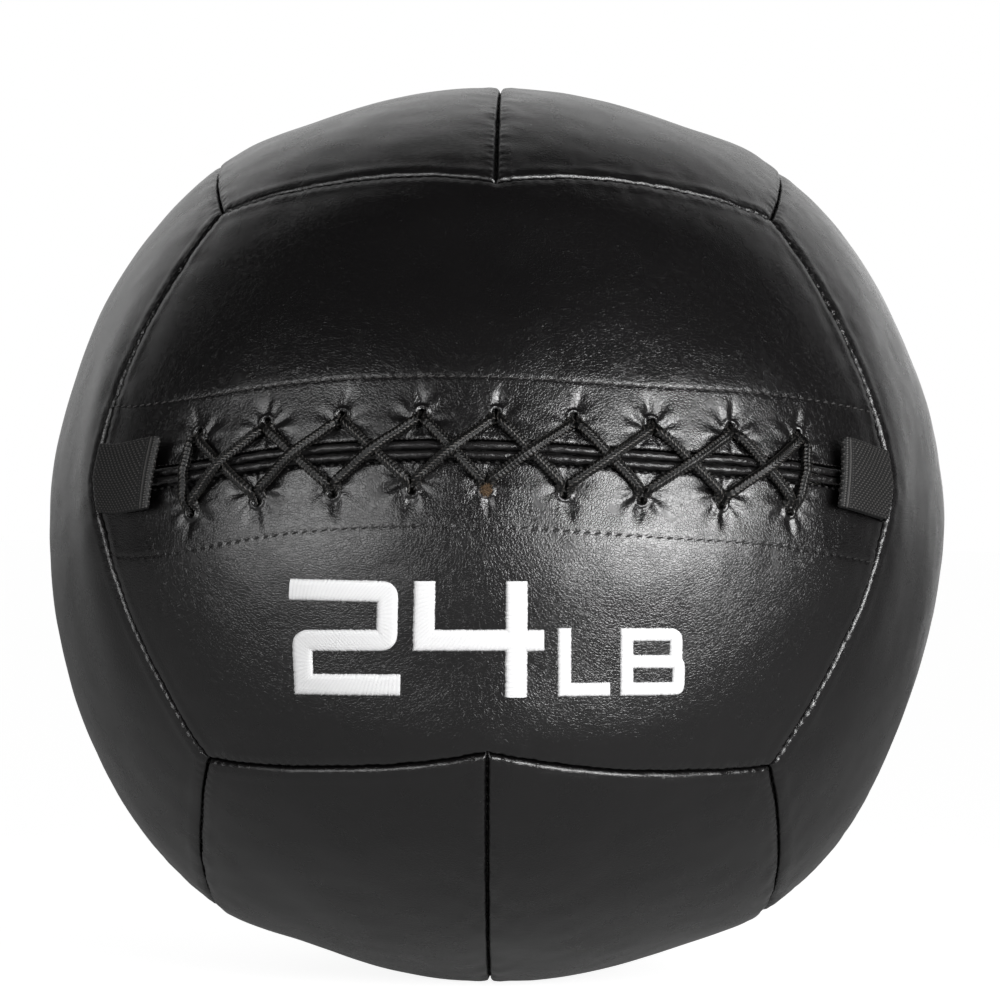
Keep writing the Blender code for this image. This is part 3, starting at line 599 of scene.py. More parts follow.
# Faces nearer to a hole's middle than this share of its radius are left out, and places up to this many radii
# away are drawn aside
HOLE_OPEN_SHARE, HOLE_REACH = 0.42, 4
HEM_VALLEY, HEM_VALLEY_WIDTH = 0.00010, 0.0008
HEM_STITCH, HEM_PULL, HEM_HOLLOW = 0.0039, 0.00017, 0.0007
SLIT_ROLL, SLIT_ROLL_DEPTH = 0.0018, 0.0012
SLIT_TROUGH, SLIT_TROUGH_PLACE, SLIT_TROUGH_WIDTH = 0.0006, 0.0036, 0.0060
SLIT_BOW, SLIT_BOW_REACH = 0.00025, 0.0080
CROSSING_REACH = 0.0065
LACE_DIMPLE, LACE_DIMPLE_REACH = 0.0009, 0.0060
PUCKER, PUCKER_PLACE, PUCKER_SPREAD, PUCKER_WAVES = 0.00016, 0.0075, 0.0040, (5, 9)
# From one place to the next the puckers and the rims of the eyes are lower or higher by these shares
PUCKER_CHANCE, EYE_RIM_CHANCE = (0.5, 1.5), (0.7, 1.2)
CREASE, CREASE_WIDTH, CREASE_REACH, CREASE_SLANT = 0.0008, 0.0017, 0.0042, 0.3
EYE_RIM, EYE_RIM_SIZE, EYE_RIM_WIDTH_SHARE, EYE_RIM_SHIFT = 0.0008, 0.0023, 0.26, 0.0004
HEM_END_FADE = 0.010
FRONT_COLUMNS, FRONT_HEM_ROWS, FRONT_REST_ROWS = 560, 64, 56
FRONT_COLUMNS_PULL, FRONT_REST_PULL = 0.3, 0.55
HEM_ROWS_REACH, REST_ROWS_BLEND, HEM_SHARE_ROUNDS = 0.034, 0.060, 5


def column_place(column):
    return (column - (LACE_COLUMNS - 1) / 2) * LACE_PITCH + LACE_SHIFTS[column]


def lace_place(column, row):
    """Where a place on the lace lies along the slit, in the upper row, 1, or the lower row, -1."""
    return column_place(column) + row * ROW_SHIFT


# The lace crosses itself over the slit halfway between each two places
CROSSINGS = [(column_place(column) + column_place(column + 1)) / 2 for column in range(LACE_COLUMNS - 1)]


def by_crossing(along):
    """1 where the lace crosses itself over the slit, and 0 away from there: a bell round each crossing."""
    return sum(bell(along - crossing, CROSSING_REACH) for crossing in CROSSINGS)


def slit_bow(along):
    """How far the lace lets each edge of the slit bow outwards: most halfway between two crossings."""
    laced = smooth_step(1 - (np.abs(along) - column_place(LACE_COLUMNS - 1)) / CROSSING_REACH)
    return SLIT_BOW * np.clip(1 - by_crossing(along), 0, 1) * laced


def hem_relief(along, across, row):
    """The height of a laced panel over the skin by the slit, from the places along it and away from it.

    It is a sum of a roll at the slit, a shallow trough beside it, a hollow up to the row of stitches, and a
    valley under that row with a dip at each stitch. At each place on the lace come a dimple, puckers round
    it, a crease that runs on from it and the raised rim of its eye.
    """
    rolled = 1 - np.clip((across - PANEL_EDGE - slit_bow(along)) / SLIT_ROLL, 0, 1)
    height = -SLIT_ROLL_DEPTH * (1 - np.sqrt(1 - rolled**2))
    height -= SLIT_TROUGH * bell(across - SLIT_TROUGH_PLACE, SLIT_TROUGH_WIDTH)
    in_hem = np.clip((across - PANEL_EDGE) / (HEM_WIDTH - PANEL_EDGE), 0, 1)
    height -= HEM_HOLLOW * np.sin(math.pi * in_hem)
    stitches = 0.5 + 0.5 * np.cos(2 * math.pi * along / HEM_STITCH)
    height -= (HEM_VALLEY + HEM_PULL * stitches) * bell(across - HEM_WIDTH, HEM_VALLEY_WIDTH)
    chance = np.random.default_rng(11)
    for column in range(LACE_COLUMNS):
        beside, beyond = along - lace_place(column, row), across - ENTRY_ROW
        away, turn = np.hypot(beside, beyond), np.arctan2(beside, beyond)
        height -= LACE_DIMPLE * bell(away, LACE_DIMPLE_REACH)
        waves = sum(np.sin(count * turn + chance.uniform(0, 6)) for count in PUCKER_WAVES)
        height += PUCKER * waves * bell(away - PUCKER_PLACE, PUCKER_SPREAD) * chance.uniform(*PUCKER_CHANCE)
        past_eye = across - EYE_ROW
        sideways = beside - chance.uniform(-CREASE_SLANT, CREASE_SLANT) * past_eye
        height -= CREASE * bell(sideways, CREASE_WIDTH) * bell(past_eye - CREASE_REACH, CREASE_REACH)
        round_eye = np.hypot(beside - chance.uniform(-EYE_RIM_SHIFT, EYE_RIM_SHIFT), past_eye) / EYE_RIM_SIZE
        rim = EYE_RIM * bell(round_eye - 1, EYE_RIM_WIDTH_SHARE) * chance.uniform(*EYE_RIM_CHANCE)
        height += rim * (beyond > 0)
    return height


def open_holes(along, across, row):
    """Places drawn away from the openings' middles, and how near each was to one at first, in radii.

    An opening is three round holes that run into one. A place at a distance d from a hole's middle moves out
    to the fourth root of d^4 + r^4, so the hole opens to its radius r and the leather some way off stays.
    """
    moved_along, moved_across = along.copy(), across.copy()
    nearest = np.full(along.shape, np.inf)
    entries = [(side * ENTRY_PITCH / 2, ENTRY_ROW, ENTRY_RADIUS) for side in SIGNS]
    for column in range(LACE_COLUMNS):
        for aside, hole_row, radius in (*entries, (0.0, EYE_ROW, EYE_RADIUS)):
            beside = along - lace_place(column, row) - aside
            beyond = across - row * hole_row
            away = np.maximum(np.hypot(beside, beyond), 1e-9)
            growth = (away**4 + radius**4) ** 0.25 / away - 1
            moved_along += beside * growth
            moved_across += beyond * growth
            nearest = np.minimum(nearest, away / radius)
    return moved_along, moved_across, nearest


def hem_share(sideways, across, side):
    """The share of the way across a laced panel at which a row is this far from the slit, by repetition."""
    foot, head = panel_rails(-WAY_Y, WAY_X, side, sideways)
    rise = np.tan(across / BALL_RADIUS)
    share = np.zeros_like(sideways)
    for _ in range(HEM_SHARE_ROUNDS):
        level = (foot + (head - foot) * share[..., None])[..., :2]
        share = rise * np.linalg.norm(level, axis=-1) / np.abs(head[..., 2])
    return share


def on_laced(ways, row, height=0.0):
    """Places on the laced panel above or below the slit, or at a height over it, in the ball's own frame.

    Over the plain skin stand the seams, the sunk hem and what the lacing does.
    """
    along, across = slit_places(ways)
    side_fade = smooth_step((SLIT_REACH - np.abs(along)) / HEM_END_FADE)
    height = height + seam_relief(ways, panel_corners(-WAY_Y, WAY_X, WAY_Z * row), laced=True)
    height += hem_relief(along, row * across, row) - hem_step(across) * side_fade
    return ways * (plain_radius(ways) + height)[..., None]


def laced_panel(name, row, material):
    """A panel with its hem: rows at fixed distances from the slit, then rows as on a plain panel."""
    side = WAY_Z * row
    sideways = (2 * closer_at_ends(FRONT_COLUMNS, FRONT_COLUMNS_PULL) - 1) * (1 - GAP_SHARE_ALONG)
    hem = np.linspace(PANEL_EDGE, HEM_ROWS_REACH, FRONT_HEM_ROWS)
    first = hem_share(np.zeros(1), HEM_ROWS_REACH, side)[0]
    rest = first + (1 - GAP_SHARE_ACROSS - first) * closer_at_ends(FRONT_REST_ROWS, FRONT_REST_PULL)[1:]
    rest_rise = rest * math.cos(SEAM_END_ANGLE)
    rest_across = BALL_RADIUS * np.arctan2(rest_rise, 1 - rest * (1 - math.sin(SEAM_END_ANGLE)))
    across_wanted = np.concatenate((hem, rest_across))
    plain_share = np.concatenate((np.zeros(FRONT_HEM_ROWS), rest))
    plainness = smooth_step((across_wanted - HEM_ROWS_REACH) / REST_ROWS_BLEND)
    sideways, across_wanted = np.meshgrid(sideways, across_wanted)
    foot_along, _ = slit_places(panel_ways(-WAY_Y, WAY_X, side, sideways, np.zeros_like(sideways)))
    shares = hem_share(sideways, across_wanted + row * slit_wander(foot_along), side)
    shares += (plain_share[:, None] - shares) * plainness[:, None]
    ways = panel_ways(-WAY_Y, WAY_X, side, sideways, shares)
    along, across = slit_places(ways)
    moved_along, moved_across, nearest = open_holes(along, across, row)
    by_slit = 1 - smooth_step((row * across - PANEL_EDGE) / SLIT_BOW_REACH)
    moved_across += row * slit_bow(along) * by_slit
    moved = ((nearest < HOLE_REACH) | (by_slit > 0))[..., None]
    ways = np.where(moved, slit_ways(moved_along, moved_across), ways)
    faces = grid_faces(*sideways.shape).reshape(-1, 4)
    closed = nearest.reshape(-1)[faces].mean(axis=1) > HOLE_OPEN_SHARE
    finish_panel(name, in_place(on_laced(ways, row)), faces[closed], material)


laced_panel("front_upper_panel", 1, LEATHER_MATERIAL)
laced_panel("front_lower_panel", -1, LEATHER_MATERIAL)


# Thread of the seams and hems: black bonded thread, pulled tight. Round the laced pair and the pair behind it
# each seam shows a light dash at every stitch, outside its groove. In the other seams the thread lies deep,
# and along the hems and welts it shows as rows of short stitches. The thread deep in the seams and the lower
# rows of stitches take a darker copy of the thread, which is painted shade, and the light tone on the twist's
# ridges is painted highlight.
THREAD_SHADED_COLOUR = (0.004, 0.004, 0.004, 1)
THREAD_COLOUR = (0.018, 0.017, 0.017, 1)
THREAD_HIGHLIGHT_COLOUR = (0.060, 0.057, 0.056, 1)
THREAD_TWIST, THREAD_TWIST_DEPTH, THREAD_TWIST_UNEVEN = 0.0006, 0.00005, 1.5
THREAD_ROUGHNESS = 0.42
# Stitches in seams: how far outside the groove and under the skin, their slant, length and radius
BORDER_STITCH = (0.0009, 0.00175, math.radians(78), 0.0024, 0.00020)
DEEP_STITCH = (0.0, 0.0026, math.radians(35), 0.0012, 0.00022)
SEAM_THREAD_FROM_FLOOR = 0.002
FRONT_REACH = 0.3
# Stitches in rows along the slit: their length, radius and slant
HEM_STITCH_SIZE = (0.0026, 0.00032, math.radians(12))
STITCH_PROUD_SHARE = 0.4
HEM_STITCHES_INSET = 0.004
ROD_SIDES, ROD_RINGS, ROD_NARROWING_SHARE = 6, 5, 0.93


def thread_material(name, dark, light):
    """Thread: a fine slanting twist across it, lighter on the twist's ridges as painted highlight and darker
    between them as painted shade.
    """
    material, tree, shader = new_material(name, THREAD_ROUGHNESS)
    place = put(tree, "ShaderNodeTexCoord").outputs["Object"]
    inputs = {"Vector": place, "Scale": 1 / THREAD_TWIST, "Distortion": THREAD_TWIST_UNEVEN}
    twist = put(tree, "ShaderNodeTexWave", inputs, bands_direction="DIAGONAL").outputs["Fac"]
    set_look(tree, shader, two_tone(tree, twist, dark, light), twist, THREAD_TWIST_DEPTH)
    return material


def circle(sides):
    """The cosine and sine of each even step round, in columns."""
    turns = np.linspace(0, 2 * math.pi, sides, endpoint=False)[:, None]
    return np.cos(turns), np.sin(turns)


def rods(name, middles, ways, ups, length, radius, material):
    """Many short rods with rounded ends: at each middle, a ring's radius follows an arch along the rod."""
    aside = unit(np.cross(ups, ways))
    ups = np.cross(ways, aside)
    run = np.linspace(-1, 1, ROD_RINGS)
    width = np.sqrt(1 - ROD_NARROWING_SHARE * run**4)[:, None, None]
    cosine, sine = circle(ROD_SIDES)
    ring = aside[:, None, None] * cosine + ups[:, None, None] * sine
    line = middles[:, None] + ways[:, None] * (run * length / 2)[:, None]
    places = line[:, :, None] + ring * radius * width
    cap = np.array(((0, 1, 2, 3), (0, 3, 4, 5)))  # each end is closed by two faces
    walls = grid_faces(ROD_RINGS, ROD_SIDES, wrap=True).reshape(-1, 4)
    faces = np.concatenate((walls, cap[:, ::-1], cap + (ROD_RINGS - 1) * ROD_SIDES))
    start = np.arange(len(middles))[:, None, None] * ROD_RINGS * ROD_SIDES
    return make_piece(name, places, faces + start, np.repeat(middles, len(faces), axis=0), material)


def seam_arcs():
    """Every sewn seam once, as its two ends, in two lists: the borders of the front and rear pairs, and the
    rest, which are each face's own seam but the slit and the short seams between the sides and the others."""
    borders, others = [], []
    for face, along, side in FACE_WAYS:
        for face_sign in SIGNS:
            middle = face * face_sign
            if not np.allclose(middle, -WAY_Y):
                others.append((seam_end(middle, -along), seam_end(middle, along)))
            for along_sign in SIGNS:
                end = seam_end(middle, along * along_sign)
                arcs = [(end, unit(middle + along * along_sign + side * side_sign)) for side_sign in SIGNS]
                (borders if abs(end[1]) > FRONT_REACH else others).extend(arcs)
    return borders, others


def seam_stitches(name, arcs, outwards, depth, slant, length, radius, material):
    """A rod of thread at every stitch of these seams, this far outside the groove and under the skin."""
    rows = []
    for first, last in arcs:
        across = unit(np.cross(first, last))
        onwards = np.cross(across, first)
        count = int(math.acos(first @ last) * BALL_RADIUS / SEAM_STITCH)
        turn = ((np.arange(count) + 0.5) * SEAM_STITCH / BALL_RADIUS)[:, None]
        up = first * np.cos(turn) + onwards * np.sin(turn)
        away_from_face = -np.sign(across @ WAY_Y * (first + last)[1])
        up = unit(up + across * away_from_face * outwards / BALL_RADIUS)
        way = across * math.cos(slant) + np.cross(across, up) * math.sin(slant)
        rows.append((up * (plain_radius(up) - depth)[:, None], way, up))
    middles, ways, ups = (np.concatenate(column) for column in zip(*rows))
    middles = in_place(middles)
    above = middles[:, 2] > SEAM_THREAD_FROM_FLOOR
    thread = rods(name, middles[above], lean(ways[above]), lean(ups[above]), length, radius, material)
    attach(thread, "ball")


def stitch_row(name, row, away, pitch, inset, length, radius, slant, bowed=0.0):
    """A row of stitches along the slit, at a distance from it, each turned by the slant and half sunk.

    Bowed is the share of the slit's own bow that the row follows. The lower rows take the darker copy of the
    thread, which is painted shade.
    """
    reach = SLIT_REACH - inset
    along = np.arange(-reach + pitch / 2, reach, pitch)
    across = row * (away + bowed * slit_bow(along))
    ways = slit_ways(along, across)
    forwards = unit(slit_ways(along + pitch / 2, across) - ways)
    heading = forwards * math.cos(slant) + np.cross(ways, forwards) * math.sin(slant)
    middles = in_place(on_laced(ways, row, radius * STITCH_PROUD_SHARE))
    # The lower rows get the darker thread: painted shade
    thread = SEAM_THREAD if row > 0 else SHADED_THREAD
    stitches = rods(name, middles, lean(heading), lean(ways), length, radius, thread)
    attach(stitches, "ball")


SEAM_THREAD = thread_material("seam_thread", THREAD_COLOUR, THREAD_HIGHLIGHT_COLOUR)
# A darker copy of the thread, for the deep seams and the lower rows: painted shade
SHADED_THREAD = thread_material("shaded_thread", THREAD_SHADED_COLOUR, THREAD_COLOUR)
BORDERS, OTHER_SEAMS = seam_arcs()
seam_stitches("border_thread", BORDERS, *BORDER_STITCH, SEAM_THREAD)
seam_stitches("seam_thread", OTHER_SEAMS, *DEEP_STITCH, SHADED_THREAD)
stitch_row("upper_hem_stitches", 1, HEM_WIDTH, HEM_STITCH, HEM_STITCHES_INSET, *HEM_STITCH_SIZE)
stitch_row("lower_hem_stitches", -1, HEM_WIDTH, HEM_STITCH, HEM_STITCHES_INSET, *HEM_STITCH_SIZE)


# Welts: a cord rolled in the same leather along each edge of the slit. It is stretched glossy, dips a little
# where the lace crosses it, and is sewn to the hem with close stitches.
WELT_DIAMETER, WELT_PROUD, WELT_GAP, WELT_END_INSET = 0.0030, 0.001, 0.0001, 0.007
WELT_DIP = 0.0009
# Wrinkles across the welt and small ones on it: their height, about how long they are, and their chance
WELT_WRINKLES = ((0.00009, 0.0045, 21), (0.00004, 0.0015, 22))
WELT_WRINKLE_ROUND = 0.002
WELT_RINGS, WELT_SIDES = 900, 18
# A tube's end ring lies this share of its radius in from the end
TUBE_END_SHARE = 0.02
WELT_STITCH_PLACE, WELT_STITCHES_INSET = 0.0042, 0.020
# Each welt: its row, how far apart its stitches are, and their length, radius and slant. The lower welt's are
# longer than the upper one's, and have sunk into the leather
WELTS = {
    "upper": (1, 0.0018, 0.0012, 0.00028, math.radians(-15)),
    "lower": (-1, 0.0034, 0.0019, 0.00052, math.radians(-15)),
}
# The welt's lighter colour is painted sheen, laid on the cloudy spots where the welt is also glossier
WELT_COLOUR = (0.0075, 0.0070, 0.0072, 1)
WELT_SHEEN_COLOUR = (0.0130, 0.0124, 0.0126, 1)
WELT_ROUGHNESS = (0.26, 0.15)
WELT_GRAIN_SIZE, WELT_GRAIN_DEPTH = 0.0007, 0.00006


def welt_leather():
    material, tree, shader = new_material("welt_leather")
    grain = put(tree, "ShaderNodeGroup", {"Grain Size": WELT_GRAIN_SIZE}, node_tree=CREASED_GRAIN).outputs
    colour = two_tone(tree, grain["Cloud"], WELT_COLOUR, WELT_SHEEN_COLOUR)
    roughness = spread(tree, grain["Cloud"], *SHINE_CLOUD, *WELT_ROUGHNESS)
    set_look(tree, shader, colour, grain["Height"], WELT_GRAIN_DEPTH, roughness)
    return material


def carried_frame(line):
    """Two ways across a path, which turn with the path but never spin about it.

    Any two ways across are taken at each point. The small spin between each point and the next is measured,
    and the sum of the spins so far is turned back.
    """
    along = unit(np.gradient(line, axis=0))
    helper = np.eye(3)[np.argmin(np.abs(along), axis=1)]
    first = unit(np.cross(along, helper))
    second = np.cross(along, first)
    axis = np.cross(along[:-1], along[1:])
    cosine = np.sum(along[:-1] * along[1:], axis=1, keepdims=True)
    carried = first[:-1] * cosine + np.cross(axis, first[:-1])
    carried += axis * np.sum(axis * first[:-1], axis=1, keepdims=True) / (1 + cosine)
    spin = np.arctan2(np.sum(carried * second[1:], axis=1), np.sum(carried * first[1:], axis=1))
    total = np.concatenate(([0], np.cumsum(spin)))[:, None]
    across = first * np.cos(total) + second * np.sin(total)
    return across, np.cross(along, across)


def sweep(name, line, radius, material, uv_run=None, pressed=None, relief=None):
    """A closed tube round a path. The radius is given ring by ring and side by side.

    Pressed gives a way for each ring and the share of its thickness that it loses that way. It spreads by a
    third as much at its sides.
    """
    sides = radius.shape[1]
    across, up = carried_frame(line)
    cosine, sine = circle(sides)
    offsets = (across[:, None] * cosine + up[:, None] * sine) * radius[..., None]
    if pressed is not None:
        press_ways, lost = pressed[0][:, None], pressed[1][:, None, None]
        through = np.sum(offsets * press_ways, axis=-1, keepdims=True) * press_ways
        offsets = (offsets - through) * (1 + lost / 3) + through * (1 - lost)
    uv = None
    if uv_run is not None:
        turn = np.arange(sides + 1) / sides
        low, high, left, right = uv_run[:-1, None], uv_run[1:, None], turn[:-1], turn[1:]
        pairs = ((left, low), (right, low), (right, high), (left, high))
        uv = np.stack([np.stack(np.broadcast_arrays(*pair), axis=-1) for pair in pairs], axis=2)
    middles = np.repeat((line[:-1] + line[1:]) / 2, sides, axis=0)
    faces = grid_faces(len(line), sides, wrap=True)
    return make_piece(name, line[:, None] + offsets, faces, middles, material, uv, relief)


def rounded_ends(run, radius):
    """Shares of the full radius that close a tube at both ends, as a half ball does."""
    from_end = np.clip(np.minimum(run - run[0], run[-1] - run) / radius, TUBE_END_SHARE, 1)
    return np.sqrt(1 - (1 - from_end) ** 2)


def make_welt(name, row, material):
    """A tube along the edge of the slit, dipped at each crossing of the lace and wrinkled a little."""
    reach = SLIT_REACH - WELT_END_INSET
    along = np.linspace(-reach, reach, WELT_RINGS)
    across = row * (WELT_DIAMETER / 2 + WELT_GAP / 2 + slit_bow(along))
    height = WELT_PROUD - WELT_DIAMETER / 2 - WELT_DIP * by_crossing(along)
    cosine, sine = (WELT_WRINKLE_ROUND * part[:, 0] for part in circle(WELT_SIDES))
    spots = np.stack(np.broadcast_arrays(along[:, None], cosine, sine + row), axis=-1)
    radius = WELT_DIAMETER / 2 + sum(size * ripples(spots, *wave) for size, *wave in WELT_WRINKLES)
    radius *= rounded_ends(along, WELT_DIAMETER / 2)[:, None]
    welt = sweep(f"{name}_bead", in_place(at_slit(along, across, height)), radius, material)
    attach(welt, "ball")
    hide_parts(name)


WELT_MATERIAL = welt_leather()
for welt_name, (welt_row, welt_stitch, *stitch_size) in WELTS.items():
    make_welt(f"{welt_name}_welt", welt_row, WELT_MATERIAL)
    row_sizes = (WELT_STITCH_PLACE, welt_stitch, WELT_STITCHES_INSET, *stitch_size)
    stitch_row(f"{welt_name}_welt_stitches", welt_row, *row_sizes, bowed=1.0)


# Lace: one round braided cord, black, in and out through the pairs of holes. It crosses the slit in a row of
# crosses, returns the same way, and its two ends stop in knots behind the hem.
LACE_DIAMETER, LACE_LIE_GAP = 0.004, 0.0003
LACE_PRESSED_SHARE, LACE_PRESSED_REACH = 0.27, 0.0036
LACE_END_RUN = 0.007
LACE_FACING_INSIDE, LACE_TURN_DEPTH = 0.0033, 0.0058
LACE_STEP, LACE_SIDES, CURVE_STEPS = 0.00027, 24, 12
BRAID_PITCH, BRAID_LEGS, BRAID_SLANT_SHARE, BRAID_RELIEF = 0.00150, 6, 1.2, 0.00068
# The powers of a strand's arch and of its fall to both ends
BRAID_ARCH, BRAID_FALL = 1.3, 0.5
# The cord is black: its dark colour is painted shade between the strands and its light colour painted
# highlight on their crowns
LACE_PAINTED_SHADE_COLOUR = (0.0006, 0.0006, 0.0006, 1)
LACE_PAINTED_HIGHLIGHT_COLOUR = (0.13, 0.12, 0.11, 1)
# The cord's roughness, the relief from which its strands are painted light as highlight, the depth of its
# yarns, and how fine these are round it and along it
LACE_ROUGHNESS, LACE_HIGHLIGHT_FROM, LACE_YARN_DEPTH = 0.42, 0.66, 0.00010
LACE_YARNS = (60, 2600, 1)
# How the cord comes down to an opening: away from where it enters and over the skin, in cord diameters
BEND_SHARES = ((1.30, 0.57), (0.75, 0.54), (0.25, 0.38))
# How it goes in and on to its hole: the share of the way there, and over the skin in cord diameters
ENTRY_SHARES = ((0.0, 0.14), (0.35, -0.30), (0.70, -0.62))
# How a strand rises between its two bends: the share of its run, and its height over a strand that lies on
# the skin, in shares of its height at the crossing
UNDER_SHARES = ((0.36, 0.3), (0.5, 1.0), (0.64, 0.3))
OVER_SHARES = ((0.20, 0.12), (0.35, 0.62), (0.5, 1.0), (0.65, 0.62), (0.80, 0.12))
# The turn under a bridge, from the hole's axis: inwards in shares of half the holes' pitch, and the share of
# the way from the facing's inner side down to the turn's depth
TURN_SHARES = ((0.0, 0.0), (0.20, 0.75), (0.57, 1.0))
LIE_HEIGHT = LACE_DIAMETER / 2 + LACE_LIE_GAP
ALONE_HEIGHT = WELT_PROUD + LIE_HEIGHT
UNDER_HEIGHT = ALONE_HEIGHT - WELT_DIP
OVER_HEIGHT = UNDER_HEIGHT + LACE_DIAMETER * (1 - LACE_PRESSED_SHARE)


def hole_place(column, row, side):
    return np.array((lace_place(column, row) + side * HOLE_PAIR_PITCH / 2, row * LACE_ROW))


def entry_place(column, row, side):
    return np.array((lace_place(column, row) + side * ENTRY_PITCH / 2, row * ENTRY_ROW))


def lace_entry(place):
    """The cord from where it enters the leather to its hole in the facing."""
    start, end = entry_place(*place), hole_place(*place)
    return [(*(start + (end - start) * share), height * LACE_DIAMETER) for share, height in ENTRY_SHARES]


def strand(start_place, end_place, shape_shares, top):
    """The cord over the skin from one opening to another, as places along, across and over the skin."""
    start, end = entry_place(*start_place), entry_place(*end_place)
    way = unit(end - start) * LACE_DIAMETER
    points = lace_entry(start_place)[::-1]
    points += [(*(start + way * away), height * LACE_DIAMETER) for away, height in reversed(BEND_SHARES)]
    for run_share, rise_share in shape_shares:
        points.append((*(start + (end - start) * run_share), LIE_HEIGHT + (top - LIE_HEIGHT) * rise_share))
    points += [(*(end - way * away), height * LACE_DIAMETER) for away, height in BEND_SHARES]
    return points + lace_entry(end_place)


def lace_turn(column, row, from_side):
    """The cord under the bridge of a place, from one of its holes to the other."""
    drop = LACE_TURN_DEPTH - LACE_FACING_INSIDE
    half = [(1 - inwards, LACE_FACING_INSIDE + drop * share) for inwards, share in TURN_SHARES]
    places = half + [(-side, depth) for side, depth in reversed(half)]
    middle, half_pitch = lace_place(column, row), from_side * HOLE_PAIR_PITCH / 2
    return [(middle + side * half_pitch, row * LACE_ROW, -depth) for side, depth in places]


def lace_end(column, row, side):
    """The cord from a knot behind the facing to the hole, away from the bridge."""
    along, across = hole_place(column, row, side)
    behind = [(along + side * run, across, -LACE_TURN_DEPTH) for run in (LACE_END_RUN, LACE_DIAMETER / 2)]
    return [*behind, (along, across, -LACE_FACING_INSIDE)]


def lace_route():
    """Out through the lower left place, across and back in crosses, and in again where it began.

    On the way to the right the strands rise and fall in turn. The last place on the right is joined straight
    across, and so is the first, where the cord ends.
    """
    last = LACE_COLUMNS - 1
    visits = [(column, -1 if column % 2 == 0 else 1) for column in range(LACE_COLUMNS)]
    visits += [(column, -row) for column, row in reversed(visits)]
    visits.append(visits[0])
    route = lace_end(0, -1, 1)
    for (column, row), (next_column, next_row) in zip(visits, visits[1:]):
        if column == next_column:
            side = next_side = 1 if column == last else -1
            shape, top = UNDER_SHARES, ALONE_HEIGHT
        else:
            side = 1 if next_column > column else -1
            next_side = -side
            rising = (next_row > row) == (next_column > column)
            shape, top = (OVER_SHARES, OVER_HEIGHT) if rising else (UNDER_SHARES, UNDER_HEIGHT)
        route += strand((column, row, side), (next_column, next_row, next_side), shape, top)
        if (next_column, next_row) != visits[0]:
            route += lace_turn(next_column, next_row, next_side)
    return np.array(route + lace_end(0, -1, -1)[::-1])


def walked_length(points):
    """How far each point lies along a path from its start."""
    return np.concatenate(([0], np.cumsum(np.linalg.norm(np.diff(points, axis=0), axis=1))))


def smooth_line(points, step):
    """A smooth curve through the points, with places a step apart along it.

    Between neighbours it is a cubic, whose slope at each point is that of the line between the points beside.
    """
    run = walked_length(points)
    slope = np.gradient(points, run, axis=0)
    fine = np.linspace(0, run[-1], CURVE_STEPS * len(points))
    cell = np.clip(np.searchsorted(run, fine, side="right") - 1, 0, len(run) - 2)
    length = (run[cell + 1] - run[cell])[:, None]
    share = (fine - run[cell])[:, None] / length
    curve = points[cell] * (2 * share**3 - 3 * share**2 + 1)
    curve += points[cell + 1] * (3 * share**2 - 2 * share**3)
    curve += slope[cell] * length * (share**3 - 2 * share**2 + share)
    curve += slope[cell + 1] * length * (share**3 - share**2)
    walked = walked_length(curve)
    even = np.linspace(0, walked[-1], int(walked[-1] / step))
    return np.stack([np.interp(even, walked, ordinate) for ordinate in curve.T], axis=1), even


def braid(run, turns):
    """The relief of a round braid, which looks like plaits side by side.

    Round the cord lie legs of plait, each a row of strands that slant forwards on one leg and backwards on
    the next. A strand is arched across its width and falls away to both ends, under the next leg's.
    """
    legs = turns * BRAID_LEGS
    slant = np.where(np.floor(legs) % 2 < 1, 1, -1) * BRAID_SLANT_SHARE
    wide = (run / BRAID_PITCH + slant * (legs % 1 - 0.5)) % 1
    return np.sin(math.pi * wide) ** BRAID_ARCH * np.sin(math.pi * (legs % 1)) ** BRAID_FALL


def yarn_material(name, roughness, painted_light_from, dark, light, fineness, depth, uv_fineness=None):
    """Cloth or cord whose relief comes with its mesh: painted shade between its yarns, painted highlight on
    them, and fibrous.
    """
    material, tree, shader = new_material(name, roughness)
    relief = put(tree, "ShaderNodeAttribute", attribute_name="relief").outputs["Fac"]
    place = put(tree, "ShaderNodeTexCoord").outputs["Object"]
    if uv_fineness:
        weave = put(tree, "ShaderNodeUVMap", uv_map="weave").outputs[0]
        stretch = {0: weave, 1: uv_fineness}
        place = put(tree, "ShaderNodeVectorMath", stretch, operation="MULTIPLY").outputs[0]
    # Painted shade between the yarns and painted highlight on them, by the relief
    colour = two_tone(tree, spread(tree, relief, painted_light_from, 1, 0, 1), dark, light)
    set_look(tree, shader, colour, noise(tree, place, fineness, 2)[0], depth)
    return material


def make_lace():
    """The braided cord along its route, pressed thinner where it crosses itself."""
    line, run = smooth_line(at_slit(*lace_route().T), LACE_STEP)
    ways = unit(line)
    along, across = slit_places(ways)
    nearest = np.min([np.hypot(along - crossing, across) for crossing in CROSSINGS], axis=0)
    lost = LACE_PRESSED_SHARE * bell(nearest, LACE_PRESSED_REACH)
    relief = braid(run[:, None], np.arange(LACE_SIDES)[None] / LACE_SIDES)
    radius = LACE_DIAMETER / 2 - BRAID_RELIEF + BRAID_RELIEF * relief
    look = (LACE_ROUGHNESS, LACE_HIGHLIGHT_FROM, LACE_PAINTED_SHADE_COLOUR, LACE_PAINTED_HIGHLIGHT_COLOUR)
    material = yarn_material("lace_cord", *look, 1, LACE_YARN_DEPTH, LACE_YARNS)
    lace = sweep("lace_cord", in_place(line), radius, material, run, (lean(ways), lost), relief)
    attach(lace, "ball")
    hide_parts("lace")


make_lace()


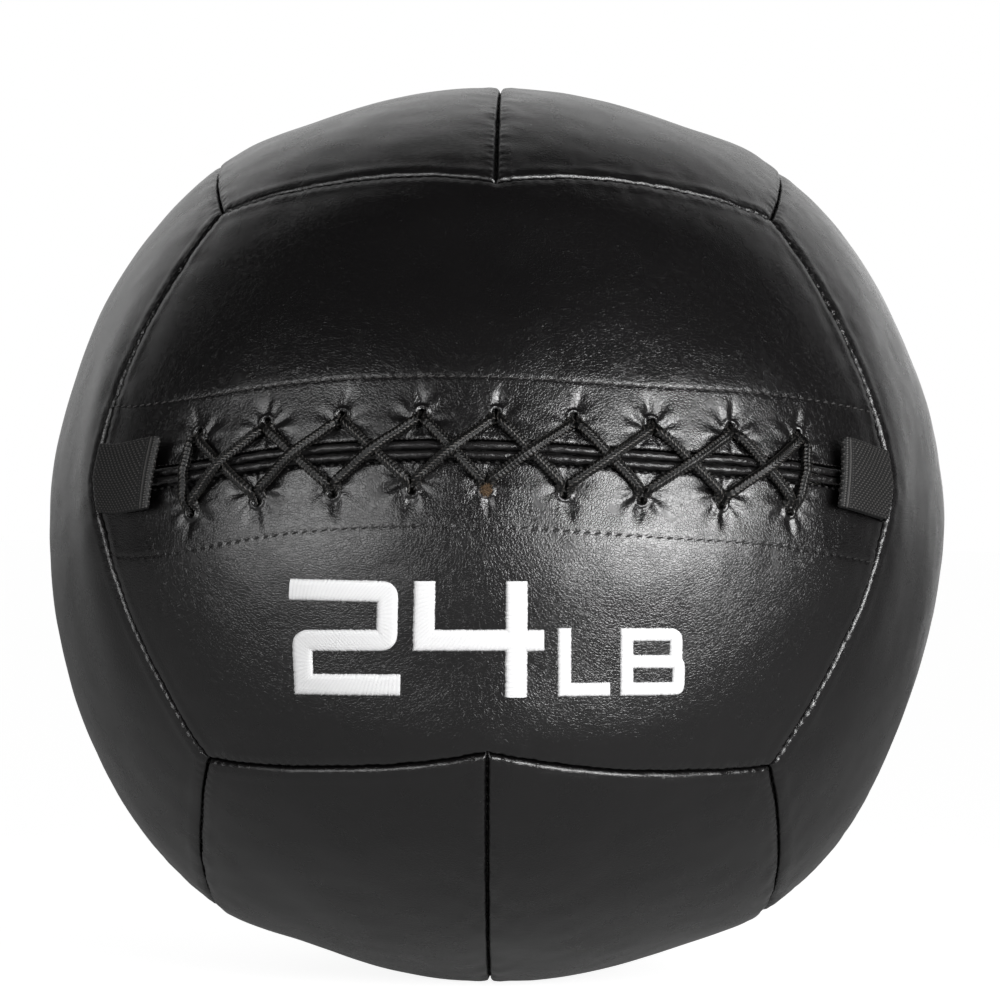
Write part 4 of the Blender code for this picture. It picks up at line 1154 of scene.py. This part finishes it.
# Fibre tuft: a pinch of the ball's tan filling that has worked its way out through the leather where the lace
# goes in below the slit's middle. It is a handful of short loose fibres.
TUFT_FIBRES = 150
TUFT_SIZE = (0.0020, 0.0022, 0.0008)
TUFT_FIBRE = (0.0026, 0.00006)
TUFT_HEIGHT = 0.0004
# The tuft's two colours follow its twist: painted shade between the ridges and painted highlight on them
TUFT_DARK_COLOUR = (0.030, 0.017, 0.009, 1)
TUFT_LIGHT_COLOUR = (0.26, 0.165, 0.09, 1)


def make_tuft():
    """Thin rods in a small heap round the outer end of the middle opening, each turned its own way."""
    chance = np.random.default_rng(47)
    spots = chance.uniform(-0.5, 0.5, (3, TUFT_FIBRES)) * 2 * np.array(TUFT_SIZE)[:, None]
    inside = np.sum((spots[:2] / np.array(TUFT_SIZE)[:2, None]) ** 2, axis=0) < 1
    aside, beyond, over = spots[:, inside]
    middle = lace_place(LACE_COLUMNS // 2, -1)
    places = in_place(at_slit(middle + aside, -EYE_ROW + beyond, TUFT_HEIGHT + over))
    ways = unit(chance.normal(0, 1, places.shape))
    ups = unit(np.cross(ways, chance.normal(0, 1, places.shape)))
    material = thread_material("tuft_fibre", TUFT_DARK_COLOUR, TUFT_LIGHT_COLOUR)
    tuft = rods("fibre_tuft", places, ways, ups, *TUFT_FIBRE, material)
    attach(tuft, "ball")


make_tuft()


# Webbing tabs: a strap of black twill webbing is folded once and sewn into the seam at each end of the slit,
# so that two layers come out of the seam and the fold stands proud at the free end.
TAB_WIDTH = 0.0249
# Each tab: its side, its length, how far its fold lies upwards, and how much further in the fold lies for
# each step upwards across the tab
TABS = {"left_tab": (-1, 0.0410, 0.0007, 0.23), "right_tab": (1, 0.0361, 0.0009, -0.075)}
# The seam turns inwards above and below the slit, and a tab's root follows it by this much for each step
TAB_ROOT_SKEW = 0.234
TAB_ROOT_DEPTH, TAB_ROOT_INWARDS = 0.0051, 0.0016
TAB_EMERGED_AFTER, TAB_ROOT_CLOSED_SHARE = 0.006, 0.28
TAB_LIFT, TAB_FOLD_LIFT, TAB_LIFTS_FROM = 0.0013, 0.0028, 0.010
TAB_BLEND_REACH = 0.008
WEBBING, TAB_LOOP_GAP = 0.0015, 0.0006
TAB_RUN_ROWS, TAB_FOLD_ROWS, TAB_SIDE_COLUMNS, TAB_EDGE_COLUMNS = 96, 26, 96, 5
YARN_PITCH, FIRST_YARN = 0.00086, 0.1
TWILL_REPEAT, TWILL_SHIFT_SHARE, TWILL_LOW_SHARE, TWILL_RELIEF = 0.0022, 0.37, 0.12, 0.00034
# The powers of a yarn's arch and of the rise of its floats
TWILL_ARCH, TWILL_RISE = 0.9, 1.3
FOLD_PLACE, FOLD_BAND, FOLD_LINE_WIDTH = 0.0026, 0.0023, 0.00035
FOLD_DOTS_PLACE, FOLD_DOTS_WIDTH = 0.0015, 0.00045
# The webbing is black: its dark colour is painted shade between the yarns and its light colour painted
# highlight on them, and on the ridge and dots by the fold
WEBBING_PAINTED_SHADE_COLOUR = (0.0008, 0.0008, 0.0008, 1)
WEBBING_PAINTED_HIGHLIGHT_COLOUR = (0.075, 0.070, 0.067, 1)
# Its roughness, the relief from which it is painted light as highlight, its two colours, and its fibres'
# fineness and depth
WEBBING_LOOK = (0.6, 0.45, WEBBING_PAINTED_SHADE_COLOUR, WEBBING_PAINTED_HIGHLIGHT_COLOUR, 2600, 0.00008)


def twill(across, along):
    """The relief of a steep twill: each lengthwise yarn, arched across its width, rises into a float once in
    a repeat, and does so a share of the repeat later than the yarn below it."""
    yarn = np.floor(across / YARN_PITCH)
    over = 0.5 + 0.5 * np.sin(2 * math.pi * (along / TWILL_REPEAT - yarn * TWILL_SHIFT_SHARE))
    arch = np.sin(math.pi * (across / YARN_PITCH % 1)) ** TWILL_ARCH
    return arch * (TWILL_LOW_SHARE + (1 - TWILL_LOW_SHARE) * over**TWILL_RISE)


def fold_pattern(across, past_fold):
    """The relief by the fold: a fine ridge along the fold with a row of dots on either side of it, which the
    webbing's material paints light as highlight.
    """
    dots = 0.5 + 0.5 * np.cos(2 * math.pi * across / YARN_PITCH)
    rows = bell(np.abs(past_fold) - FOLD_DOTS_PLACE, FOLD_DOTS_WIDTH)
    return np.maximum(bell(past_fold, FOLD_LINE_WIDTH), dots * rows)


def make_tab(name, side, tab_length, slant, fold_skew, material):
    """A strap along a path that comes out of the seam, runs inwards, folds and returns on top of itself.

    The path is drawn in distances inwards from the seam and over the skin. The strap's outline across the
    path is a rectangle with round edges, and the twill stands on its two broad sides. By the fold the twill
    opens, and its yarns show as a fine ridge between rows of dots.
    """
    fold_radius = (WEBBING + TAB_LOOP_GAP) / 2
    fold_centre = tab_length - fold_radius - WEBBING / 2
    out = np.linspace(TAB_ROOT_INWARDS, fold_centre, TAB_RUN_ROWS)
    turn = np.linspace(0, math.pi, TAB_FOLD_ROWS)[1:-1]
    inwards = np.concatenate((out, fold_centre + fold_radius * np.sin(turn), out[::-1]))
    layer = np.concatenate((-np.ones_like(out), -np.cos(turn), np.ones_like(out))) * fold_radius
    sunk = 1 - smooth_step((inwards - TAB_ROOT_INWARDS) / TAB_EMERGED_AFTER)
    raised = smooth_step((inwards - TAB_LIFTS_FROM) / (tab_length - TAB_LIFTS_FROM))
    lift = TAB_LIFT + TAB_FOLD_LIFT * raised - TAB_ROOT_DEPTH * sunk
    height = lift + WEBBING / 2 + fold_radius + layer * (1 - TAB_ROOT_CLOSED_SHARE * sunk)
    path_in, path_up = np.gradient(inwards), np.gradient(height)
    size = np.hypot(path_in, path_up)
    broad = np.linspace(-1, 1, TAB_SIDE_COLUMNS)
    edge_turn = np.linspace(0, math.pi, TAB_EDGE_COLUMNS + 2)[1:-1]
    flat_half = (TAB_WIDTH - WEBBING) / 2
    half_across = np.concatenate((broad * flat_half, flat_half + WEBBING / 2 * np.sin(edge_turn)))
    half_through = np.concatenate((np.ones_like(broad), np.cos(edge_turn)))
    across, through = (np.concatenate((half, -half)) for half in (half_across, half_through))
    walked = walked_length(np.stack((inwards, height), axis=1))[:, None]
    past_fold = walked - walked[-1] / 2 - FOLD_PLACE
    at_fold = smooth_step((FOLD_BAND - np.abs(past_fold)) / FOLD_LINE_WIDTH)
    relief = twill(across + FIRST_YARN, walked)
    relief += (fold_pattern(across, past_fold) - relief) * at_fold
    thick = through * (WEBBING / 2 - TWILL_RELIEF + TWILL_RELIEF * relief)
    place_in = inwards[:, None] + (path_up / size)[:, None] * thick
    place_up = height[:, None] - (path_in / size)[:, None] * thick
    slanted = across + slant * place_in / tab_length
    to_fold = np.clip((inwards[:, None] - TAB_ROOT_INWARDS) / (tab_length - TAB_ROOT_INWARDS), 0, 1)
    place_in = place_in + TAB_ROOT_SKEW * np.abs(across) * (1 - to_fold) + fold_skew * across * to_fold
    places = in_place(at_slit(side * (SLIT_REACH - place_in), slanted, place_up))
    middles = in_place(at_slit(side * (SLIT_REACH - inwards), np.zeros_like(inwards), height))
    middles = np.repeat((middles[:-1] + middles[1:]) / 2, place_in.shape[1], axis=0)
    faces = grid_faces(*place_in.shape, wrap=True)
    tab = make_piece(f"{name}_webbing", places, faces, middles, material, relief=relief)
    blend_start = in_place(at_slit(side * SLIT_REACH, 0.0, TAB_LIFT))
    blend_end = in_place(at_slit(side * (SLIT_REACH - TAB_BLEND_REACH), 0.0, TAB_LIFT))
    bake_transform(tab)
    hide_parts(name)


WEBBING_MATERIAL = yarn_material("webbing", *WEBBING_LOOK)
for tab_name, tab_shape in TABS.items():
    make_tab(tab_name, *tab_shape, WEBBING_MATERIAL)


# Weight mark: plain block figures and the unit of weight on the lower front panel, embroidered in white satin
# stitch over padding. The threads run across each stroke, so its edges are slightly ragged.
MARK_STROKE, UNIT_STROKE = 0.0079, 0.0049
MARK_ROUNDING, UNIT_ROUNDING = 0.0062, 0.0049
MARK_RISE, MARK_SUNK, MARK_LIE = 0.0009, 0.0006, 0.00005
# Each stroke lies this much higher than the one before, so that two never lie in one surface
STROKE_OVER_STROKE = 0.00003
MARK_FOOT_WIDTH_SHARE, MARK_EDGE_ROUNDNESS, THREAD_RIDGE_SHARE = 0.9, 5, 0.20
MARK_THREAD, MARK_RAGGED = 0.00036, 0.00009
MARK_STEP, MARK_COLUMNS = 0.00016, 11
WHITE_THREAD_COLOUR = (0.80, 0.80, 0.80, 1)
WHITE_THREAD_PAINTED_SHADE = (0.52, 0.52, 0.53, 1)
# Its roughness, the relief from which it is light, its two colours (painted shade between the threads, and the
# thread's own white), and its fibres' fineness and depth
WHITE_THREAD_LOOK = (0.5, 0, WHITE_THREAD_PAINTED_SHADE, WHITE_THREAD_COLOUR, 3000, 0.00006)
# The mark's middle lies this far below the slit. Its strokes are placed to the right of there and above it,
# and the whole mark sags a little to both sides of its highest place
MARK_BELOW_SLIT, MARK_SAG, MARK_HIGHEST = 0.068, 0.58, 0.010
MARK_TOP, MARK_BAR, MARK_FOOT = 0.0205, -0.0011, -0.0212
UNIT_TOP, UNIT_FOOT = 0.0035, -0.0212
TWO_LEFT, TWO_RIGHT = -0.0740, -0.0329
# The 2 stands a little aslant: its leg, the leg's foot and the foot's end lie this far to the right, and the
# tip of its top this far up
TWO_LEG_IN, TWO_LEG_SLANT, TWO_FOOT_OUT, TWO_TIP_UP = 0.0012, 0.0007, 0.0013, 0.0010
FOUR_LEFT, FOUR_BAR_RIGHT, FOUR_POST = -0.0273, 0.0200, 0.0101
L_LEFT, L_RIGHT = 0.0250, 0.0440
B_LEFT, B_RIGHT, B_WAIST_IN = 0.0479, 0.0725, 0.001


def mark_ways(right, up):
    """Directions of places on the mark, given by their distances along its own great circle and above it."""
    below = MARK_BELOW_SLIT / BALL_RADIUS
    middle = np.array((0, -math.cos(below), -math.sin(below)))
    upwards = np.array((0, -math.sin(below), math.cos(below)))
    turn = (right / BALL_RADIUS)[..., None]
    rise = ((up - MARK_SAG * (right - MARK_HIGHEST) ** 2) / BALL_RADIUS)[..., None]
    return (WAY_X * np.sin(turn) + middle * np.cos(turn)) * np.cos(rise) + upwards * np.sin(rise)


def inset_strokes():
    """Each stroke: the corners of its middle line, its width, which corners are round, and how round."""
    half, unit_half = MARK_STROKE / 2, UNIT_STROKE / 2
    top, foot, bar = MARK_TOP - half, MARK_FOOT + half, MARK_BAR
    unit_top, unit_foot = UNIT_TOP - unit_half, UNIT_FOOT + unit_half
    unit_bar = (unit_top + unit_foot) / 2
    left, right = TWO_LEFT + half + TWO_LEG_IN, TWO_RIGHT - half
    two = [(TWO_LEFT, top + TWO_TIP_UP), (right, top), (right, bar), (left, bar)]
    two += [(left + TWO_LEG_SLANT, foot), (TWO_RIGHT + TWO_FOOT_OUT, foot)]
    four = [(FOUR_LEFT + half, MARK_TOP), (FOUR_LEFT + half, bar), (FOUR_BAR_RIGHT, bar)]
    post = [(FOUR_POST, MARK_TOP), (FOUR_POST, MARK_FOOT)]
    letter_l = [(L_LEFT + unit_half, UNIT_TOP), (L_LEFT + unit_half, unit_foot), (L_RIGHT, unit_foot)]
    b_left, b_right, b_waist = B_LEFT + unit_half, B_RIGHT - unit_half, B_RIGHT - unit_half - B_WAIST_IN
    upper_bowl = [(b_left, unit_bar), (b_left, unit_top), (b_waist, unit_top), (b_waist, unit_bar)]
    lower_bowl = [(b_left, unit_bar), (b_right, unit_bar), (b_right, unit_foot), (b_left, unit_foot)]
    return [
        (two, MARK_STROKE, (1, 2, 3), MARK_ROUNDING),
        (four, MARK_STROKE, (), 0),
        (post, MARK_STROKE, (), 0),
        (letter_l, UNIT_STROKE, (), 0),
        (upper_bowl, UNIT_STROKE, (2,), UNIT_ROUNDING),
        (lower_bowl + lower_bowl[:1], UNIT_STROKE, (1, 2), UNIT_ROUNDING),
    ]


def stroke_grid(corners, width):
    """A strip along a line with mitred corners: places along and across the slit, and each row's run."""
    legs = unit(np.diff(corners, axis=0))
    aside = np.stack((-legs[:, 1], legs[:, 0]), axis=1)
    mitre = np.concatenate((aside[:1], aside[:-1] + aside[1:], aside[-1:]))
    mitre /= np.sum(mitre * np.concatenate((aside[:1], aside)), axis=1, keepdims=True)
    run = walked_length(corners)
    rows = np.linspace(0, run[-1], int(run[-1] / MARK_STEP))
    lines = (corners, mitre)
    middle, sideways = (np.stack([np.interp(rows, run, part) for part in line.T], axis=1) for line in lines)
    return middle, sideways * width / 2, rows


def round_corners(places, corners, width, rounded, radius):
    """Places of a stroke with these corners rounded on their outer side.

    The arc's middle lies on the corner's diagonal. A place beyond it in both ways, and further off than the
    radius, is drawn back to the arc.
    """
    legs = unit(np.diff(corners, axis=0))
    for number in rounded:
        before, after = legs[number - 1], legs[number]
        away = places - corners[number] - (before - after) * (width / 2 - radius)
        distance = np.maximum(np.linalg.norm(away, axis=-1), 1e-9)
        by_corner = np.linalg.norm(places - corners[number], axis=-1) < width
        outside = by_corner & (away @ before > 0) & (away @ after < 0) & (distance > radius)
        places = np.where(outside[..., None], places - away * (1 - radius / distance)[..., None], places)
    return places


def make_mark():
    """All strokes in one: a low pad with a ridge for each thread, closed below the leather's surface."""
    chance = np.random.default_rng(31)
    parts, start = [], 0
    over = np.linspace(-1, 1, MARK_COLUMNS)
    columns = 2 * MARK_COLUMNS
    cell = np.arange(MARK_COLUMNS - 1)
    end = np.stack((cell, cell + 1, columns - 2 - cell, columns - 1 - cell), axis=1)
    for number, (corners, width, rounded, radius) in enumerate(inset_strokes()):
        corners = np.array(corners)
        middle, sideways, rows = stroke_grid(corners, width)
        thread = np.floor(rows / MARK_THREAD).astype(int)
        ragged = 1 + chance.normal(0, MARK_RAGGED, (thread[-1] + 1, 2)) / (width / 2)
        reach = np.where(over < 0, ragged[thread, :1], ragged[thread, 1:])
        ridge = np.abs(np.sin(math.pi * rows / MARK_THREAD))[:, None] * np.ones_like(over)
        arch = MARK_RISE * (1 - np.abs(over) ** MARK_EDGE_ROUNDNESS)
        pad = arch * (1 - THREAD_RIDGE_SHARE + THREAD_RIDGE_SHARE * ridge) + STROKE_OVER_STROKE * number
        foot = np.broadcast_to(over[::-1] * MARK_FOOT_WIDTH_SHARE, pad.shape)
        outline = np.concatenate((over * reach, foot), axis=1)[..., None]
        grid = round_corners(middle[:, None] + sideways[:, None] * outline, corners, width, rounded, radius)
        lift = np.concatenate((pad - MARK_LIE, np.full_like(pad, -MARK_SUNK)), axis=1)
        places = on_laced(mark_ways(grid[..., 0], grid[..., 1]), -1, lift)
        walls = grid_faces(len(rows), columns, wrap=True).reshape(-1, 4)
        faces = np.concatenate((walls, end[:, ::-1], end + (len(rows) - 1) * columns))
        centre = places.mean(axis=1)
        middles = [np.repeat((centre[:-1] + centre[1:]) / 2, columns, axis=0)]
        middles += [np.repeat(centre[[near]], MARK_COLUMNS - 1, axis=0) for near in (1, -2)]
        relief = np.concatenate((ridge, ridge * 0), axis=1)
        parts.append((places.reshape(-1, 3), faces + start, np.concatenate(middles), relief.ravel()))
        start += relief.size
    places, faces, middles, relief = (np.concatenate(column) for column in zip(*parts))
    material = yarn_material("white_thread", *WHITE_THREAD_LOOK)
    mark = make_piece("weight_mark", in_place(places), faces, in_place(middles), material, relief=relief)
    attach(mark, "ball")


make_mark()


# Inside: linen-like facings and placket behind the lacing, a liner bag, loose fibre, and a canvas bag of iron
# sand tied with cord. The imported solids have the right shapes, and get cloth, fibre, cord and iron finishes.
CLOTH_DEPTH, CLOTH_ROUGHNESS, CLOTH_CLOUD_FINENESS = 0.00012, 0.85, 60
CLOTH_PITCH, SPECKLE_ROUGHNESS = 0.0008, 0.7
CLOTH_TURN = (0.6, 0.5, 0.3)
FACING_NODES = ("upper_hem_facing", "lower_hem_facing", "placket")
KNOT_NODES = ("lace_start_knot", "lace_end_knot")
# Each cloth: its nodes, its two colours and the pitch of its threads
CLOTHS = {
    "facing_cloth": (FACING_NODES, (0.010, 0.010, 0.010), (0.022, 0.021, 0.021), 0.0007),
    "liner_cloth": (("liner_bag",), (0.50, 0.49, 0.46), (0.66, 0.65, 0.62), 0.0009),
    "canvas": (("weight_bag",), (0.42, 0.39, 0.33), (0.58, 0.55, 0.48), 0.0014),
}
# Each loose or twisted stuff: its nodes, its two colours, its grain's size and depth, roughness and metal
SPECKLED = {
    "fibre": (("fibre_filling",), (0.62, 0.61, 0.57), (0.82, 0.81, 0.77), 0.003, 0.0008, 0.95, 0.0),
    "iron_sand": (("ballast",), (0.05, 0.045, 0.04), (0.20, 0.18, 0.17), 0.0012, 0.0004, 0.65, 0.6),
    "tie_cord": (("weight_bag_tie",), (0.20, 0.18, 0.14), (0.38, 0.34, 0.28), 0.0011, 0.0003, 0.8, 0.0),
    # The knots take the lace's painted shade and highlight colours, speckled over their grain
    "knot_braid": (KNOT_NODES, LACE_PAINTED_SHADE_COLOUR[:3], LACE_PAINTED_HIGHLIGHT_COLOUR[:3], 0.0009, 0.0003, 0.6, 0.0),
}


def plain_weave():
    """A node group: threads over and under each other in a square weave, and a slow cloudy mask."""
    group = new_group("plain_weave", {"Thread Pitch": CLOTH_PITCH}, ("Height", "Cloud"))
    given = put(group, "NodeGroupInput").outputs
    place = put(group, "ShaderNodeTexCoord").outputs["Object"]
    turned = put(group, "ShaderNodeMapping", {"Vector": place, "Rotation": CLOTH_TURN}).outputs[0]
    apart = put(group, "ShaderNodeSeparateXYZ", {"Vector": turned}).outputs
    fineness = math_node(group, "DIVIDE", math.pi, given["Thread Pitch"])
    waves = [math_node(group, "SINE", math_node(group, "MULTIPLY", apart[way], fineness)) for way in "XYZ"]
    height = math_node(group, "MULTIPLY", math_node(group, "ADD", waves[0], waves[1]), waves[2])
    cloud = noise(group, place, CLOTH_CLOUD_FINENESS, 4)[0]
    put(group, "NodeGroupOutput", {"Height": height, "Cloud": cloud})
    return group


def give_finish(node_names, finish):
    for node_name in node_names:
        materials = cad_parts[node_name].data.materials
        materials.clear()
        materials.append(finish)


PLAIN_WEAVE = plain_weave()
for cloth_name, (cloth_nodes, dark, light, pitch) in CLOTHS.items():
    finish, tree, shader = new_material(cloth_name, CLOTH_ROUGHNESS)
    weave = put(tree, "ShaderNodeGroup", {"Thread Pitch": pitch}, node_tree=PLAIN_WEAVE).outputs
    colour = two_tone(tree, weave["Cloud"], (*dark, 1), (*light, 1))
    set_look(tree, shader, colour, weave["Height"], CLOTH_DEPTH)
    give_finish(cloth_nodes, finish)
for stuff_name, (stuff_nodes, dark, light, size, depth, roughness, metal) in SPECKLED.items():
    finish, tree, shader = new_material(stuff_name, roughness)
    shader.inputs["Metallic"].default_value = metal
    place = put(tree, "ShaderNodeTexCoord").outputs["Object"]
    grains = noise(tree, place, 1 / size, 5, Roughness=SPECKLE_ROUGHNESS)[0]
    set_look(tree, shader, two_tone(tree, grains, (*dark, 1), (*light, 1)), grains, depth)
    give_finish(stuff_nodes, finish)
